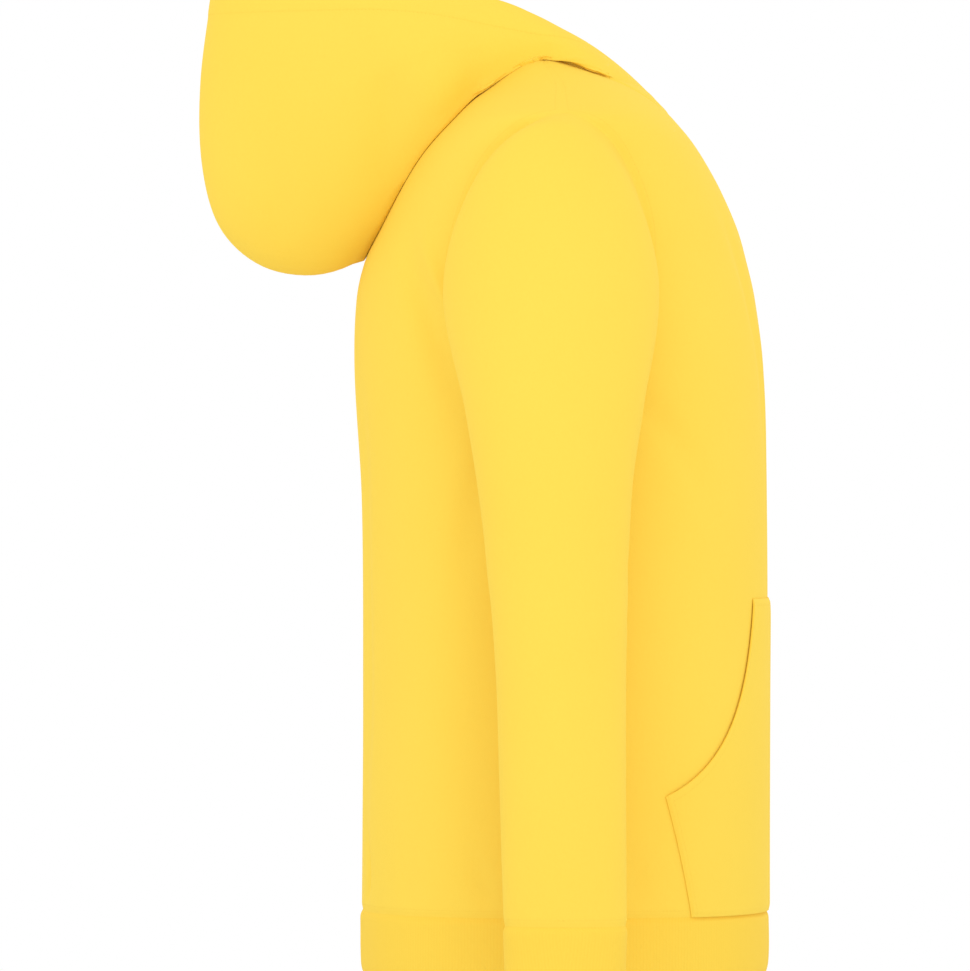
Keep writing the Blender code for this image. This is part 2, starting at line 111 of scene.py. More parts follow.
# height, half width, front y, back y, squareness of the section
BODY_SECTIONS = (
    (6.0, 84.0, -8.0, 8.0, 2.2),
    (0.0, 100.0, -22.0, 20.0, 2.2),
    (-7.0, 116.0, -39.0, 32.0, 2.2),
    (-15.0, 134.0, -60.0, 41.0, 2.2),
    (-24.0, 155.0, -79.0, 51.0, 2.2),
    (-36.0, 184.0, -92.0, 63.0, 2.3),
    (-49.0, 211.0, -104.0, 74.0, 2.3),
    (-63.0, 212.0, -115.5, 86.0, 2.4),
    (-79.0, 208.0, -126.0, 98.0, 2.4),
    (-101.0, 203.0, -138.0, 110.0, 2.4),
    (-130.0, 196.0, -150.5, 123.0, 2.4),
    (-155.0, 191.0, -157.5, 134.0, 2.4),
    (-183.0, 187.0, -164.0, 140.0, 2.4),
    (-237.0, 183.0, -171.0, 141.5, 2.5),
    (-336.0, 184.0, -173.5, 136.0, 2.5),
    (-488.0, 183.0, -173.0, 135.0, 2.5),
    (-590.0, 180.0, -172.7, 135.5, 2.5),
    (-660.0, 177.0, -172.7, 136.0, 2.5),
)

# outer line x, z; inner line x, z; middle y, half depth in y, fullness of the underarm side
SLEEVE_SECTIONS = (
    (233.0, -59.0, 188.0, -237.0, -7.0, 76.0, 0.52),
    (256.0, -86.0, 190.5, -245.0, -7.0, 77.5, 0.48),
    (276.0, -126.0, 192.5, -258.0, -7.5, 76.5, 0.38),
    (290.0, -176.0, 194.5, -276.0, -8.5, 72.5, 0.26),
    (299.0, -232.0, 197.0, -302.0, -9.0, 66.0, 0.12),
    (305.0, -300.0, 200.5, -345.0, -9.5, 57.5, 0.0),
    (308.0, -380.0, 206.0, -405.0, -12.0, 51.5, 0.0),
    (308.0, -460.0, 212.0, -472.0, -14.0, 48.0, 0.0),
    (306.0, -530.0, 220.0, -536.0, -15.0, 46.8, 0.0),
    (303.0, -595.0, 229.0, -597.0, -16.0, 46.0, 0.0),
    (300.0, -648.0, 237.0, -648.0, -17.0, 45.2, 0.0),
)

# front y, z; neck side x, y, z; pouch side x, y, z; pouch back x, y, z; back y, z
HOOD_LOOPS = (
    (-98.0, -42.4, 104.0, -51.5, -16.5, 101.0, -1.0, 1.5, 90.0, 25.0, -8.0, 46.5, -17.0),
    (-96.2, -40.6, 104.5, -49.5, -14.0, 102.5, 4.0, 0.0, 90.0, 34.0, -16.0, 50.0, -22.0),
    (-94.0, -38.2, 105.0, -47.5, -11.0, 104.0, 9.5, -3.5, 91.0, 45.0, -26.5, 62.0, -41.0),
    (-91.6, -35.6, 105.0, -45.0, -7.5, 104.5, 16.0, -8.0, 93.0, 57.0, -37.5, 85.0, -69.0),
    (-89.1, -33.0, 105.0, -42.0, -4.0, 105.5, 22.0, -12.5, 95.0, 69.0, -50.0, 114.0, -119.0),
    (-86.6, -30.4, 104.5, -38.5, 0.0, 106.5, 28.0, -16.0, 98.0, 80.0, -62.0, 136.0, -151.0),
    (-84.1, -27.8, 104.0, -34.5, 4.0, 108.5, 31.0, -9.0, 103.0, 86.0, -55.0, 172.0, -164.0),
    (-81.6, -25.2, 103.0, -30.5, 8.0, 111.0, 35.0, 0.0, 108.0, 95.0, -43.0, 213.0, -157.0),
    (-79.1, -22.7, 101.0, -26.5, 12.0, 112.0, 39.0, 10.0, 111.0, 108.0, -27.0, 244.0, -129.0),
    (-76.6, -20.3, 98.0, -22.5, 15.5, 111.0, 42.0, 21.0, 112.0, 122.0, -6.0, 258.0, -82.0),
    (-74.2, -18.0, 94.0, -18.0, 18.5, 108.0, 45.0, 33.0, 108.0, 136.0, 23.0, 259.5, -18.0),
    (-71.8, -15.8, 90.0, -13.0, 21.4, 102.0, 47.0, 44.0, 98.0, 146.0, 56.0, 250.0, 58.0),
)
HOOD_POUCH_ROUNDNESS = 2.0
# the hood's stand: a ring just inside the neckline, and how far it takes to turn out of the body's
# surface
HOOD_STAND_IN = 1.6
HOOD_STAND_RISE = 2.0
HOOD_STAND_TURN = 2.0
# the roll of cloth over the front half of the neck seam
NECK_ROLL = 0.9
NECK_ROLL_OUT = 6.0
NECK_ROLL_WIDTH = 3.4
NECK_ROLL_PART = (0.02, 0.34)
# the turned hem round the hood's opening: its step, and how much thicker it makes the cloth
HEM_STEP = 0.5
HEM_STEP_REACH = 0.8
HEM_THICKER = 0.6
# the gap between the body and the hood lying on it, for its plain form and for its folds
HOOD_REST = 0.6
HOOD_CONTACT = 0.15
# the body's surface is followed up to this height, and out to this many times its section's size
REST_TOP_Z = 5.0
REST_NEAR = 1.6
REST_TURNS = 6
# cloth up to this far above its gap settles towards the body
SETTLE_REACH = 6.0
# where the hood settles and lies, each a start and a rise: shares of the way round from the
# front middle to the centre seam, and distance out from the neckline
SETTLING_PART = (0.48, 0.08)
LYING_PART = (0.24, 0.08)
LYING_OUT = (5.0, 6.0)

# how strongly each seam draws the cloth in, as a share of the hem seam's depth; the armhole's
# gains with the depth below the neck points, given as a start and a rise
SIDE_SEAM = 0.3
SHOULDER_SEAM = 0.2
HOOD_SEAM = 0.6
NECK_SEAM = 1.3
NECK_POINT_X = 107.0
NECK_FADE_X = 62.0
ARMHOLE_SEAM = 0.15
ARMHOLE_SEAM_GAIN = 0.45
ARMHOLE_SEAM_FALL = (62.0, 45.0)

# ---------------------------------------------------------------- creases, listed one by one
# each line's straight stretches, how strong it is at its ends, and how full its fading curve is
CREASE_STEPS = 12
CREASE_END = 0.06
CREASE_FULLNESS = 0.8
# how far from a seam the creases come to their full depth
CREASE_EASE = 9.0
SLEEVE_EASE = 8.0
# the left sleeve's creases are slighter, further round in degrees and a little lower, all but the
# gathers at the cuff, and those of the hood's left half are slighter
LEFT_SLEEVE_SHARE = 0.9
LEFT_FURTHER = 5.0
LEFT_LOWER = 0.015
CUFF_GATHERS = 0.9
LEFT_HOOD_SHARE = 0.85
# Soft troughs (negative depth) and ridges, each along a line on the cloth.
# depth, half width, then the line's points: degrees round from the wearer's left, and height
BODY_CREASES = (
    # the back, between the hood and each arm
    (-5.5, 14.0, ((229.0, -142.0), (221.0, -178.0), (214.0, -216.0), (208.0, -262.0))),
    (3.2, 8.0, ((223.0, -138.0), (215.0, -170.0), (208.0, -200.0), (203.0, -232.0))),
    (-6.4, 16.0, ((-47.0, -136.0), (-41.0, -178.0), (-31.0, -224.0), (-24.0, -272.0))),
    (3.4, 10.0, ((-39.0, -142.0), (-33.0, -178.0), (-26.0, -210.0), (-20.0, -240.0))),
    # from each underarm across the front and the back
    (-2.2, 11.0, ((172.0, -236.0), (160.0, -262.0), (147.0, -300.0), (139.0, -344.0))),
    (-3.4, 12.0, ((8.0, -238.0), (21.0, -266.0), (34.0, -308.0), (41.0, -352.0))),
    (-1.8, 12.0, ((188.0, -244.0), (199.0, -290.0), (206.0, -345.0), (208.0, -400.0))),
    (-2.5, 12.0, ((-7.0, -246.0), (-19.0, -296.0), (-26.0, -352.0), (-29.0, -410.0))),
    # long easy folds down the sides and the back
    (-1.6, 22.0, ((196.0, -330.0), (199.0, -430.0), (203.0, -530.0), (201.0, -610.0))),
    (1.1, 20.0, ((214.0, -320.0), (217.0, -420.0), (219.0, -520.0), (216.0, -600.0))),
    (-2.0, 20.0, ((-18.0, -350.0), (-22.0, -450.0), (-20.0, -545.0), (-23.0, -615.0))),
    (1.4, 18.0, ((-36.0, -330.0), (-39.0, -440.0), (-37.0, -540.0), (-40.0, -612.0))),
    (-3.8, 17.0, ((-74.0, -240.0), (-78.0, -340.0), (-76.0, -450.0), (-80.0, -560.0))),
    (-3.2, 14.0, ((-112.0, -260.0), (-108.0, -370.0), (-110.0, -480.0), (-107.0, -580.0))),
    # the chest
    (-3.4, 12.5, ((118.0, -120.0), (112.0, -175.0), (108.0, -235.0), (107.0, -300.0))),
    (-3.8, 12.5, ((61.0, -118.0), (67.0, -172.0), (72.0, -236.0), (74.0, -306.0))),
    (-2.8, 14.0, ((98.0, -190.0), (94.0, -260.0), (95.0, -330.0), (93.0, -395.0))),
    # the gathers that the tighter hem band draws in
    (-1.5, 8.0, ((201.0, -644.0), (203.0, -622.0), (206.0, -596.0))),
    (-1.3, 8.0, ((224.0, -644.0), (226.0, -620.0), (225.0, -590.0))),
    (-4.1, 6.5, ((251.0, -644.0), (249.0, -618.0), (252.0, -588.0))),
    (-4.2, 6.5, ((274.0, -644.0), (276.0, -624.0), (274.0, -600.0))),
    (-3.8, 6.0, ((298.0, -644.0), (296.0, -616.0), (298.0, -592.0))),
    (-2.1, 8.0, ((321.0, -644.0), (323.0, -620.0), (320.0, -596.0))),
    (-2.0, 8.0, ((341.0, -644.0), (339.0, -622.0), (342.0, -594.0))),
    (-1.4, 8.0, ((163.0, -644.0), (161.0, -624.0), (163.0, -598.0))),
    (-1.8, 8.0, ((18.0, -644.0), (20.0, -622.0), (17.0, -596.0))),
)
# depth, half width, then the line's points: degrees round from the outer line, towards the
# front on the wearer's left, and how far down the sleeve, from 0 at the armhole to 1
SLEEVE_CREASES = (
    (-2.6, 9.0, ((118.0, 0.09), (128.0, 0.17), (140.0, 0.25), (150.0, 0.33))),
    (-2.2, 9.0, ((246.0, 0.10), (236.0, 0.18), (224.0, 0.27), (214.0, 0.35))),
    (-1.5, 10.0, ((96.0, 0.16), (106.0, 0.27), (118.0, 0.38), (126.0, 0.47))),
    (-1.3, 11.0, ((262.0, 0.20), (252.0, 0.31), (240.0, 0.42), (232.0, 0.52))),
    (-1.6, 8.0, ((84.0, 0.50), (112.0, 0.53), (142.0, 0.545), (168.0, 0.55))),
    (-1.3, 8.0, ((76.0, 0.57), (104.0, 0.59), (134.0, 0.61), (158.0, 0.615))),
    (-1.0, 9.0, ((98.0, 0.65), (120.0, 0.67), (146.0, 0.68))),
    (-1.2, 9.0, ((208.0, 0.62), (228.0, 0.65), (250.0, 0.66))),
    (0.9, 16.0, ((350.0, 0.34), (356.0, 0.48), (2.0, 0.62), (6.0, 0.78))),
    (-1.3, 7.0, ((122.0, 0.985), (128.0, 0.955), (131.0, 0.915))),
    (-1.3, 7.0, ((150.0, 0.985), (155.0, 0.95), (152.0, 0.92))),
    (-1.3, 7.0, ((182.0, 0.985), (184.0, 0.955), (188.0, 0.91))),
    (-1.2, 7.0, ((214.0, 0.985), (212.0, 0.95), (216.0, 0.915))),
    (-1.1, 7.0, ((246.0, 0.985), (243.0, 0.955), (246.0, 0.925))),
    (-1.0, 7.0, ((64.0, 0.985), (66.0, 0.96), (62.0, 0.925))),
)
# depth, half width, then the line's points: how far round from the front middle (0) to the
# centre seam (1), and how far out from the neckline (0) to the edge of the opening (1)
HOOD_CREASES = (
    (-3.2, 17.0, ((0.84, 0.44), (0.80, 0.52), (0.77, 0.61), (0.76, 0.70))),
    (-2.2, 14.0, ((0.93, 0.52), (0.90, 0.60), (0.89, 0.70))),
    (1.8, 16.0, ((0.70, 0.42), (0.69, 0.54), (0.68, 0.66))),
    (-2.0, 14.0, ((0.62, 0.30), (0.58, 0.45), (0.56, 0.62))),
    (-1.6, 9.0, ((0.40, 0.20), (0.38, 0.45), (0.37, 0.80))),
)

# ---------------------------------------------------------------- how walls and cloths are made
# rows and columns of each grid, for each step of the fineness
SKIRT_DIVISIONS, SCYE_DIVISIONS, PANEL_DIVISIONS = 9, 8, 9
POCKET_DIVISIONS, POCKET_TOP_DIVISIONS = 6, 3
SLEEVE_ROUND, SLEEVE_DOWN = 18, 15
CUFF_ROUND, BAND_ROUND, RIB_DOWN = 15, 38, 4
HOOD_ROUND, HOOD_OUT = 12, 14
# by what share rows or columns draw together, at the start, at the end or at each of them
CLOTH_CROWDING = (0.85, 0.75)
RIB_CROWDING = (0.8, 0.5)
SKIRT_CROWDING, SCYE_CROWDING, PANEL_CROWDING = 0.85, 0.7, 0.8

ROUND_STEPS = 4
REVERSED = [0, 3, 2, 1]
SHARP_ANGLE = math.radians(60)
NO_STITCHES = 1.0
# each slot's cloths, outside and inside
CLOTHS = {"fleece": ("fleece", "fleece_inside"), "rib": ("rib", "rib")}

# noise cells to a metre
CLOUD_SCALE = 7.0
NAP_SCALE = 420.0
BRUSHED_NAP_SCALE = 260.0
FIBRE_SCALE = 1400.0
# shares of the cloth's colour: all of it, then its green and its blue further
CLOUD_DARK, CLOUD_LIGHT = (0.985, 0.985, 0.92), (1.01, 1.012, 1.08)
SPECK_DARK, SPECK_LIGHT = (0.965, 0.96, 0.85), (1.03, 1.035, 1.15)
# painted shade: the first darkens the grooves between the ribs, the second the sunken rows of topstitches
RIB_GROOVE_PAINTED_SHADE, ROW_PAINTED_SHADE = (0.988, 0.983, 0.95), (0.95, 0.93, 0.8)
SPECK_SHARE = 0.45
# how strongly the sunken row of topstitches is painted darker, as painted shade
ROW_PAINTED_SHADE_SHARE = 0.25
# the knit's and the stitches' sizes, in metres, and shapes
WALE = 0.0014
COURSE = 0.0010
LOOP_SLANT = 1.1
STITCH_HALF_WIDTH = 0.0007
THREAD_HALF_BEAT = 0.36
RIB_FULLNESS = 0.7
# heights, in metres
NAP_HEIGHT, BRUSHED_NAP_HEIGHT = 0.00022, 0.0007
KNIT_HEIGHT, BRUSHED_KNIT_HEIGHT = 0.00004, 0.00001
FIBRE_HEIGHT = 0.00006
RIB_HEIGHT = 0.00012
ROW_DEPTH = 0.00030
THREAD_HEIGHT = 0.00035
BUMP_STRENGTH = 0.55

# ---------------------------------------------------------------- the studio, in metres
LAMP_AIM = (0.0, 0.0, -0.35)
LAMP_SIZE = 2.6
# name, place, and share of the key light's power
LAMPS = (
    ("key_light", (-3.5, -0.9, -0.2), 1.0),
    ("back_fill", (-1.9, 3.2, -0.4), 0.62),
    ("far_fill", (3.2, -1.4, 1.2), 0.8),
)
CAMERA_Y, CAMERA_Z = 0.042, -0.3244


# ---------------------------------------------------------------- smooth curves and surfaces
def bell(x, reach):
    """1 at zero, falling smoothly to almost nothing by twice the reach on either side."""
    return np.exp(-(x / reach) ** 2)


def ramp(x, start, rise):
    """0 up to the start, then rising evenly to 1 over the rise."""
    return np.clip((x - start) / rise, 0.0, 1.0)


def hermite(p, q, slope_p, slope_q, t):
    """A cubic curve from p to q at t, with the slopes at its two ends over its whole span."""
    return (
        (2 * t ** 3 - 3 * t ** 2 + 1) * p
        + (t ** 3 - 2 * t ** 2 + t) * slope_p
        + (3 * t ** 2 - 2 * t ** 3) * q
        + (t ** 3 - t ** 2) * slope_q
    )


def smooth(knots, values, keys):
    """Values at the keys, on smooth curves through the values at rising knots."""
    knots, values = np.asarray(knots, float), np.asarray(values, float)
    last = len(knots) - 1
    i = np.clip(np.searchsorted(knots, keys) - 1, 0, last - 1)
    h, j = np.maximum(i - 1, 0), np.minimum(i + 2, last)
    shape = keys.shape + (1,) * (values.ndim - 1)
    span = (knots[i + 1] - knots[i]).reshape(shape)
    slope_p = (values[i + 1] - values[h]) / (knots[i + 1] - knots[h]).reshape(shape)
    slope_q = (values[j] - values[i]) / (knots[j] - knots[i]).reshape(shape)
    t = ((keys - knots[i]).reshape(shape)) / span
    return hermite(values[i], values[i + 1], span * slope_p, span * slope_q, t)


def ring_knots(rings):
    """Each ring's share of the mean distance walked from the first ring to the last."""
    gaps = np.linalg.norm(np.diff(rings, axis=0), axis=-1).mean(-1)
    return np.concatenate(([0.0], np.cumsum(gaps))) / gaps.sum()


def between_rings(knots, rings, shares):
    """For each column of the rings, the point at that column's own share of the way."""
    return np.array([smooth(knots, rings[:, n], shares[n:n + 1])[0] for n in range(len(shares))])


def unit(v):
    return v / np.maximum(np.linalg.norm(v, axis=-1, keepdims=True), 1e-9)


def section(z):
    """Half width, middle y, half depth and squareness of the body at each height."""
    rows = np.array(BODY_SECTIONS[::-1])
    half, front, back, square = np.moveaxis(smooth(rows[:, 0], rows[:, 1:], np.asarray(z, float)), -1, 0)
    return half, (front + back) / 2, (back - front) / 2, square


def on_body(angle, z):
    """Points of the body's surface; the angle runs from the wearer's left (0) to the front (90)."""
    half, middle, depth, square = section(z)
    c, s = np.cos(angle), np.sin(angle)
    k = (np.abs(c) ** square + np.abs(s) ** square) ** (-1.0 / square)
    x = half * k * c
    return np.stack((x, middle - depth * k * s, np.broadcast_to(z, x.shape)), -1)


def body_normal(angle, z):
    """Outward unit normals of the body's surface."""
    round_way = on_body(angle + 0.01, z) - on_body(angle - 0.01, z)
    up_way = on_body(angle, z + 0.5) - on_body(angle, z - 0.5)
    return unit(np.cross(up_way, round_way))


def other_share(share, square):
    """Along one axis of a section, the share of its half size that goes with the other axis's."""
    return np.maximum(1 - np.abs(share) ** square, 0.0) ** (1 / square)


def angle_at_y(y, z):
    _, middle, depth, square = section(z)
    s = np.clip((middle - y) / depth, -1.0, 1.0)
    return np.arctan2(s, other_share(s, square))


def angle_at_x(x, z):
    half, _, _, square = section(z)
    c = x / half
    return np.arctan2(other_share(c, square), c)


def armhole(turn):
    """Angle and height of the armhole's edge; turn is 0 at the shoulder, 90 degrees in front."""
    middle = (ARMHOLE_TOP_Z + ARMHOLE_BOTTOM_Z) / 2
    z = middle + (ARMHOLE_TOP_Z - middle) * np.cos(turn)
    half = ARMHOLE_HALF_TOP + ARMHOLE_HALF_GAIN * ((1 - np.cos(turn)) / 2) ** 2
    y = section(z)[1] + ARMHOLE_SHIFT * np.sin(turn) ** 2 - half * np.sin(turn)
    return angle_at_y(y, z), z


def neckline(angle):
    """Height of the neckline at each angle round the body."""
    drop = np.where(angle > 0, FRONT_NECK_DROP, BACK_NECK_DROP)
    return -drop * np.abs(np.sin(angle)) ** np.where(angle > 0, FRONT_NECK_POWER, 2.0)


def crowded(span, points, low=0.0, high=0.0):
    """Rising numbers from 0 to the span, whose gaps shrink by the stated share at either end."""
    x = np.linspace(0.0, 1.0, points)
    turn = 2 * np.pi
    t = x - low * np.sin(turn * np.clip(x, 0, 0.5)) / turn
    return (t + high * np.sin(turn * np.clip(1 - x, 0, 0.5)) / turn) * span


def full_turn(count):
    """Even angles once round, without the last, which is the first again."""
    return np.linspace(0, 2 * math.pi, count + 1)[:-1]


def both_halves(left, right):
    """A whole grid from two halves that both run to its middle column."""
    return np.concatenate((left, right[:, -2::-1]), 1)


def mirrored(grid):
    """The same grid on the wearer's other side, its columns still running to the right."""
    return grid[:, ::-1] * MIRROR


def on_side(side, *grids):
    """Grids made on the wearer's left, mirrored for the right."""
    return [mirrored(grid) for grid in grids] if side == "right" else grids


def normals_of(grid, ring):
    """Outward unit normals of a grid whose columns run round to the right as seen from outside."""
    up = np.gradient(grid, axis=0)
    if ring:
        across = (np.roll(grid, -1, 1) - np.roll(grid, 1, 1)) / 2
    else:
        across = np.gradient(grid, axis=1)
    return unit(np.cross(across, up))


def edge_blended(normal, edge_normal, up, reach):
    """Normals turned to the edge's own, beside the first row."""
    near_edge = bell(up, reach)[..., None]
    return unit(normal * (1 - near_edge) + edge_normal * near_edge)


def towards(beyond, point, middle):
    """Unit vectors turned about, where they don't point from the edge's point to its middle."""
    return beyond * np.sign((beyond * (middle - point)).sum(-1, keepdims=True))


def lengths(grid, axis):
    """Distance walked along each line of a grid, from its first point."""
    steps = np.linalg.norm(np.diff(grid, axis=axis), axis=-1)
    zero = np.zeros_like(np.take(steps, [0], axis))
    return np.cumsum(np.concatenate((zero, steps), axis), axis)


def creased(points, lines, place):
    """How far the listed creases move each point; place turns a line's two numbers into a point."""
    moved = np.zeros(points.shape[:-1])
    for depth, width, marks in lines:
        marks = np.array(marks)
        knots = np.linspace(0, 1, len(marks))
        path = place(*smooth(knots, marks, np.linspace(0, 1, CREASE_STEPS + 1)).T)
        best = np.full(moved.shape, 1e9)
        at = np.zeros(moved.shape)
        for n, (a, b) in enumerate(zip(path[:-1], path[1:])):
            edge = b - a
            t = np.clip(((points - a) @ edge) / (edge @ edge), 0, 1)
            d = np.linalg.norm(points - (a + t[..., None] * edge), axis=-1)
            near = d < best
            best = np.where(near, d, best)
            at = np.where(near, (n + t) / CREASE_STEPS, at)
        along = CREASE_END + (1 - 2 * CREASE_END) * at
        fade = np.sin(np.pi * np.clip(along, 0, 1)) ** CREASE_FULLNESS
        moved += depth * fade * bell(best, width)
    return moved


# ---------------------------------------------------------------- closed walls from two skins
def corners(grid):
    """The values at the four corners of each face of a grid, anticlockwise."""
    return np.stack((grid[:-1, :-1], grid[:-1, 1:], grid[1:, 1:], grid[1:, :-1]), -1)


def end_strips(outer, inner, index, ring, round_ends):
    """
    For each end of a wall, strips of point numbers from the outer skin over to the inner, and
    the points added between the skins, in their order.
    """
    outer, inner = outer.reshape(-1, 3), inner.reshape(-1, 3)
    count = 2 * len(outer)
    ends = {"first_row": (index[0], index[1]), "last_row": (index[-1], index[-2])}
    if not ring:
        ends["first_column"] = index[:, 0], index[:, 1]
        ends["last_column"] = index[:, -1], index[:, -2]
    strips, added = {}, []
    for end, (line, next_line) in ends.items():
        strips[end] = [line]
        near, far = outer[line], inner[line]
        way = unit(near - outer[next_line])
        thick = np.linalg.norm(far - near, axis=-1, keepdims=True)
        for step in range(1, ROUND_STEPS if end in round_ends else 1):
            turn = math.pi * step / ROUND_STEPS
            strip = near + (far - near) * (1 - math.cos(turn)) / 2 + way * thick / 2 * math.sin(turn)
            new = count + np.arange(len(line))
            if ring:
                strip = strip[:-1]
                new = np.concatenate((new[:-1], new[:1]))
            added.append(strip)
            count += len(strip)
            strips[end].append(new)
        strips[end].append(line + len(outer))
    return strips, added


def end_faces(strips):
    """Faces across each end of a wall, from one strip to the next."""
    quads = []
    for end, lines in strips.items():
        for a, b in zip(lines[:-1], lines[1:]):
            quad = np.stack((a[:-1], a[1:], b[1:], b[:-1]), -1)
            quads.append(quad[:, ::-1] if end in ("first_row", "last_column") else quad)
    return quads


def corner_faces(strips):
    """Faces that close a wall's corners, where a rounded end meets another end."""
    fans = []
    for row_end, row in (("first_row", 0), ("last_row", -1)):
        for column_end, column in (("first_column", 0), ("last_column", -1)):
            down_row = [line[column] for line in strips[row_end]]
            down_column = [line[row] for line in strips[column_end]]
            loop = [int(n) for n in down_row + down_column[-2:0:-1]]
            if len(loop) > 2:
                fans.append(loop[::-1] if row == column else loop)
    return fans


def stitch_map(across, up, stitched):
    """For each face of a grid, distance along and distance from its nearest stitched end."""
    ways = {
        "first_row": (across, up),
        "last_row": (across, up[-1:] - up),
        "first_column": (up, across - across[:, :1]),
        "last_column": (up, across[:, -1:] - across),
    }
    best = np.full(corners(up).shape + (2,), NO_STITCHES / MM)
    for end, further in stitched.items():
        along, off = corners(ways[end][0]), corners(ways[end][1] - further)
        closer = off.mean(-1) < best[..., 1].mean(-1)
        best[closer] = np.stack((along, off), -1)[closer]
    return best


def add_uv(mesh, name, values, elsewhere):
    """A UV layer from the values in mm of a mesh's first corners, and one number for the rest."""
    flat = np.full((len(mesh.loops), 2), elsewhere)
    flat[:len(values)] = values * MM
    mesh.uv_layers.new(name=name).data.foreach_set("uv", flat.ravel())


def wall_piece(name, replaced, slot, settings, outer, inner, ring=False, round_ends=(), stitched=None):
    """
    A closed wall between an outer and an inner grid of points, in mm, in a node's place. The
    ends named in round_ends, of first_row, last_row, first_column and last_column, are rounded
    over, and the others are square. stitched holds the ends that have a row of stitches along
    them, and how much further in than usual that row is, in mm.
    """
    index = np.arange(outer[..., 0].size).reshape(outer.shape[:2])
    shut = outer
    if ring:
        index = np.concatenate((index, index[:, :1]), 1)
        shut = np.concatenate((outer, outer[:, :1]), 1)
    across, up = lengths(shut, 1), lengths(shut, 0)
    across = across - across[:, -1:] / 2
    strips, added = end_strips(outer, inner, index, ring, round_ends)
    outside = corners(index).reshape(-1, 4)
    inside = outside[:, REVERSED] + outer[..., 0].size
    faces = np.concatenate([outside, inside, *end_faces(strips)]).tolist()
    if not ring:
        faces += corner_faces(strips)
    mesh = bpy.data.meshes.new(name)
    points = np.concatenate([outer.reshape(-1, 3), inner.reshape(-1, 3), *added]) * MM
    mesh.from_pydata(points.tolist(), [], faces)
    for kind in CLOTHS[slot]:
        mesh.materials.append(cloth_for(settings, kind))
    skin = np.zeros(len(faces), dtype=np.int32)
    skin[len(outside):2 * len(outside)] = 1
    mesh.polygons.foreach_set("material_index", skin)
    uv = np.stack((corners(across), corners(up)), -1)
    both_skins = np.concatenate((uv.reshape(-1, 2), uv[..., REVERSED, :].reshape(-1, 2)))
    add_uv(mesh, "cloth", both_skins, 0.0)
    add_uv(mesh, "stitches", stitch_map(across, up, stitched or {}).reshape(-1, 2), NO_STITCHES)
    mesh.uv_layers.active_index = 0
    mesh.shade_smooth()
    mesh.set_sharp_from_angle(angle=SHARP_ANGLE)
    piece = bpy.data.objects.new(name, mesh)
    bpy.context.scene.collection.objects.link(piece)
    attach(piece, "root")
    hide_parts(replaced)
    return piece


# ---------------------------------------------------------------- materials
def node(tree, kind, **values):
    made = tree.nodes.new(kind)
    for key, value in values.items():
        setattr(made, key, value)
    return made


def feed(tree, socket, value):
    """Sets a socket to a plain value, or links another node's output to it."""
    if isinstance(value, (int, float, tuple)):
        socket.default_value = value
    else:
        tree.links.new(value, socket)


def maths(tree, operation, *numbers):
    made = node(tree, "ShaderNodeMath", operation=operation)
    for socket, number in zip(made.inputs, numbers):
        feed(tree, socket, number)
    return made.outputs[0]


def uv_parts(tree, name):
    source = node(tree, "ShaderNodeUVMap", uv_map=name)
    parts = node(tree, "ShaderNodeSeparateXYZ")
    tree.links.new(source.outputs["UV"], parts.inputs[0])
    return parts.outputs[0], parts.outputs[1]


def noise(tree, scale, detail, roughness=0.5):
    where = node(tree, "ShaderNodeTexCoord")
    made = node(tree, "ShaderNodeTexNoise")
    for key, value in (("Scale", scale), ("Detail", detail), ("Roughness", roughness)):
        made.inputs[key].default_value = value
    tree.links.new(where.outputs["Object"], made.inputs["Vector"])
    return made.outputs["Fac"]


def mixed(tree, factor, low, high):
    made = node(tree, "ShaderNodeMix", data_type="RGBA")
    for socket, value in ((made.inputs["Factor"], factor), (made.inputs[6], low), (made.inputs[7], high)):
        feed(tree, socket, value)
    return made.outputs[2]


def shade(colour, share, green, blue):
    """A share of the colour, with further shares of its green and its blue."""
    return (min(colour[0] * share, 1.0), colour[1] * share * green, colour[2] * share * blue, 1.0)


def dyed(tree, colour, nap, fibres):
    """The cloth's colour: wide clouds of uneven dye, and fine specks of nap and fibres."""
    clouds = noise(tree, CLOUD_SCALE, detail=3.0)
    cloudy = mixed(tree, clouds, shade(colour, *CLOUD_DARK), shade(colour, *CLOUD_LIGHT))
    speck = maths(tree, "MULTIPLY_ADD", nap, 0.5, maths(tree, "MULTIPLY", fibres, 0.5))
    specked = mixed(tree, speck, shade(colour, *SPECK_DARK), shade(colour, *SPECK_LIGHT))
    return mixed(tree, SPECK_SHARE, cloudy, specked)


def knitted(tree, u, v):
    """Height of knitted loops: slanting rows of courses, gathered in wales."""
    wale = maths(tree, "FRACT", maths(tree, "DIVIDE", u, WALE))
    across = maths(tree, "ABSOLUTE", maths(tree, "SUBTRACT", wale, 0.5))
    course = maths(tree, "DIVIDE", v, COURSE)
    slant = maths(tree, "ADD", course, maths(tree, "MULTIPLY", across, LOOP_SLANT))
    loops = maths(tree, "SINE", maths(tree, "MULTIPLY", slant, 2 * math.pi))
    return maths(tree, "MULTIPLY_ADD", loops, 0.25, maths(tree, "MULTIPLY", across, 2.0))


def stitched_row(tree, settings):
    """Where a row of topstitches draws the cloth in, and where its threads lie, from 0 to 1."""
    along, off = uv_parts(tree, "stitches")
    from_row = maths(tree, "ABSOLUTE", maths(tree, "SUBTRACT", off, settings.stitch_inset))
    apart = maths(tree, "MINIMUM", maths(tree, "DIVIDE", from_row, STITCH_HALF_WIDTH), 1.0)
    row = maths(tree, "SUBTRACT", 1.0, apart)
    beat = maths(tree, "FRACT", maths(tree, "DIVIDE", along, settings.stitch_length))
    from_middle = maths(tree, "ABSOLUTE", maths(tree, "SUBTRACT", beat, 0.5))
    thread = maths(tree, "LESS_THAN", from_middle, THREAD_HALF_BEAT)
    return row, maths(tree, "MULTIPLY", row, thread)


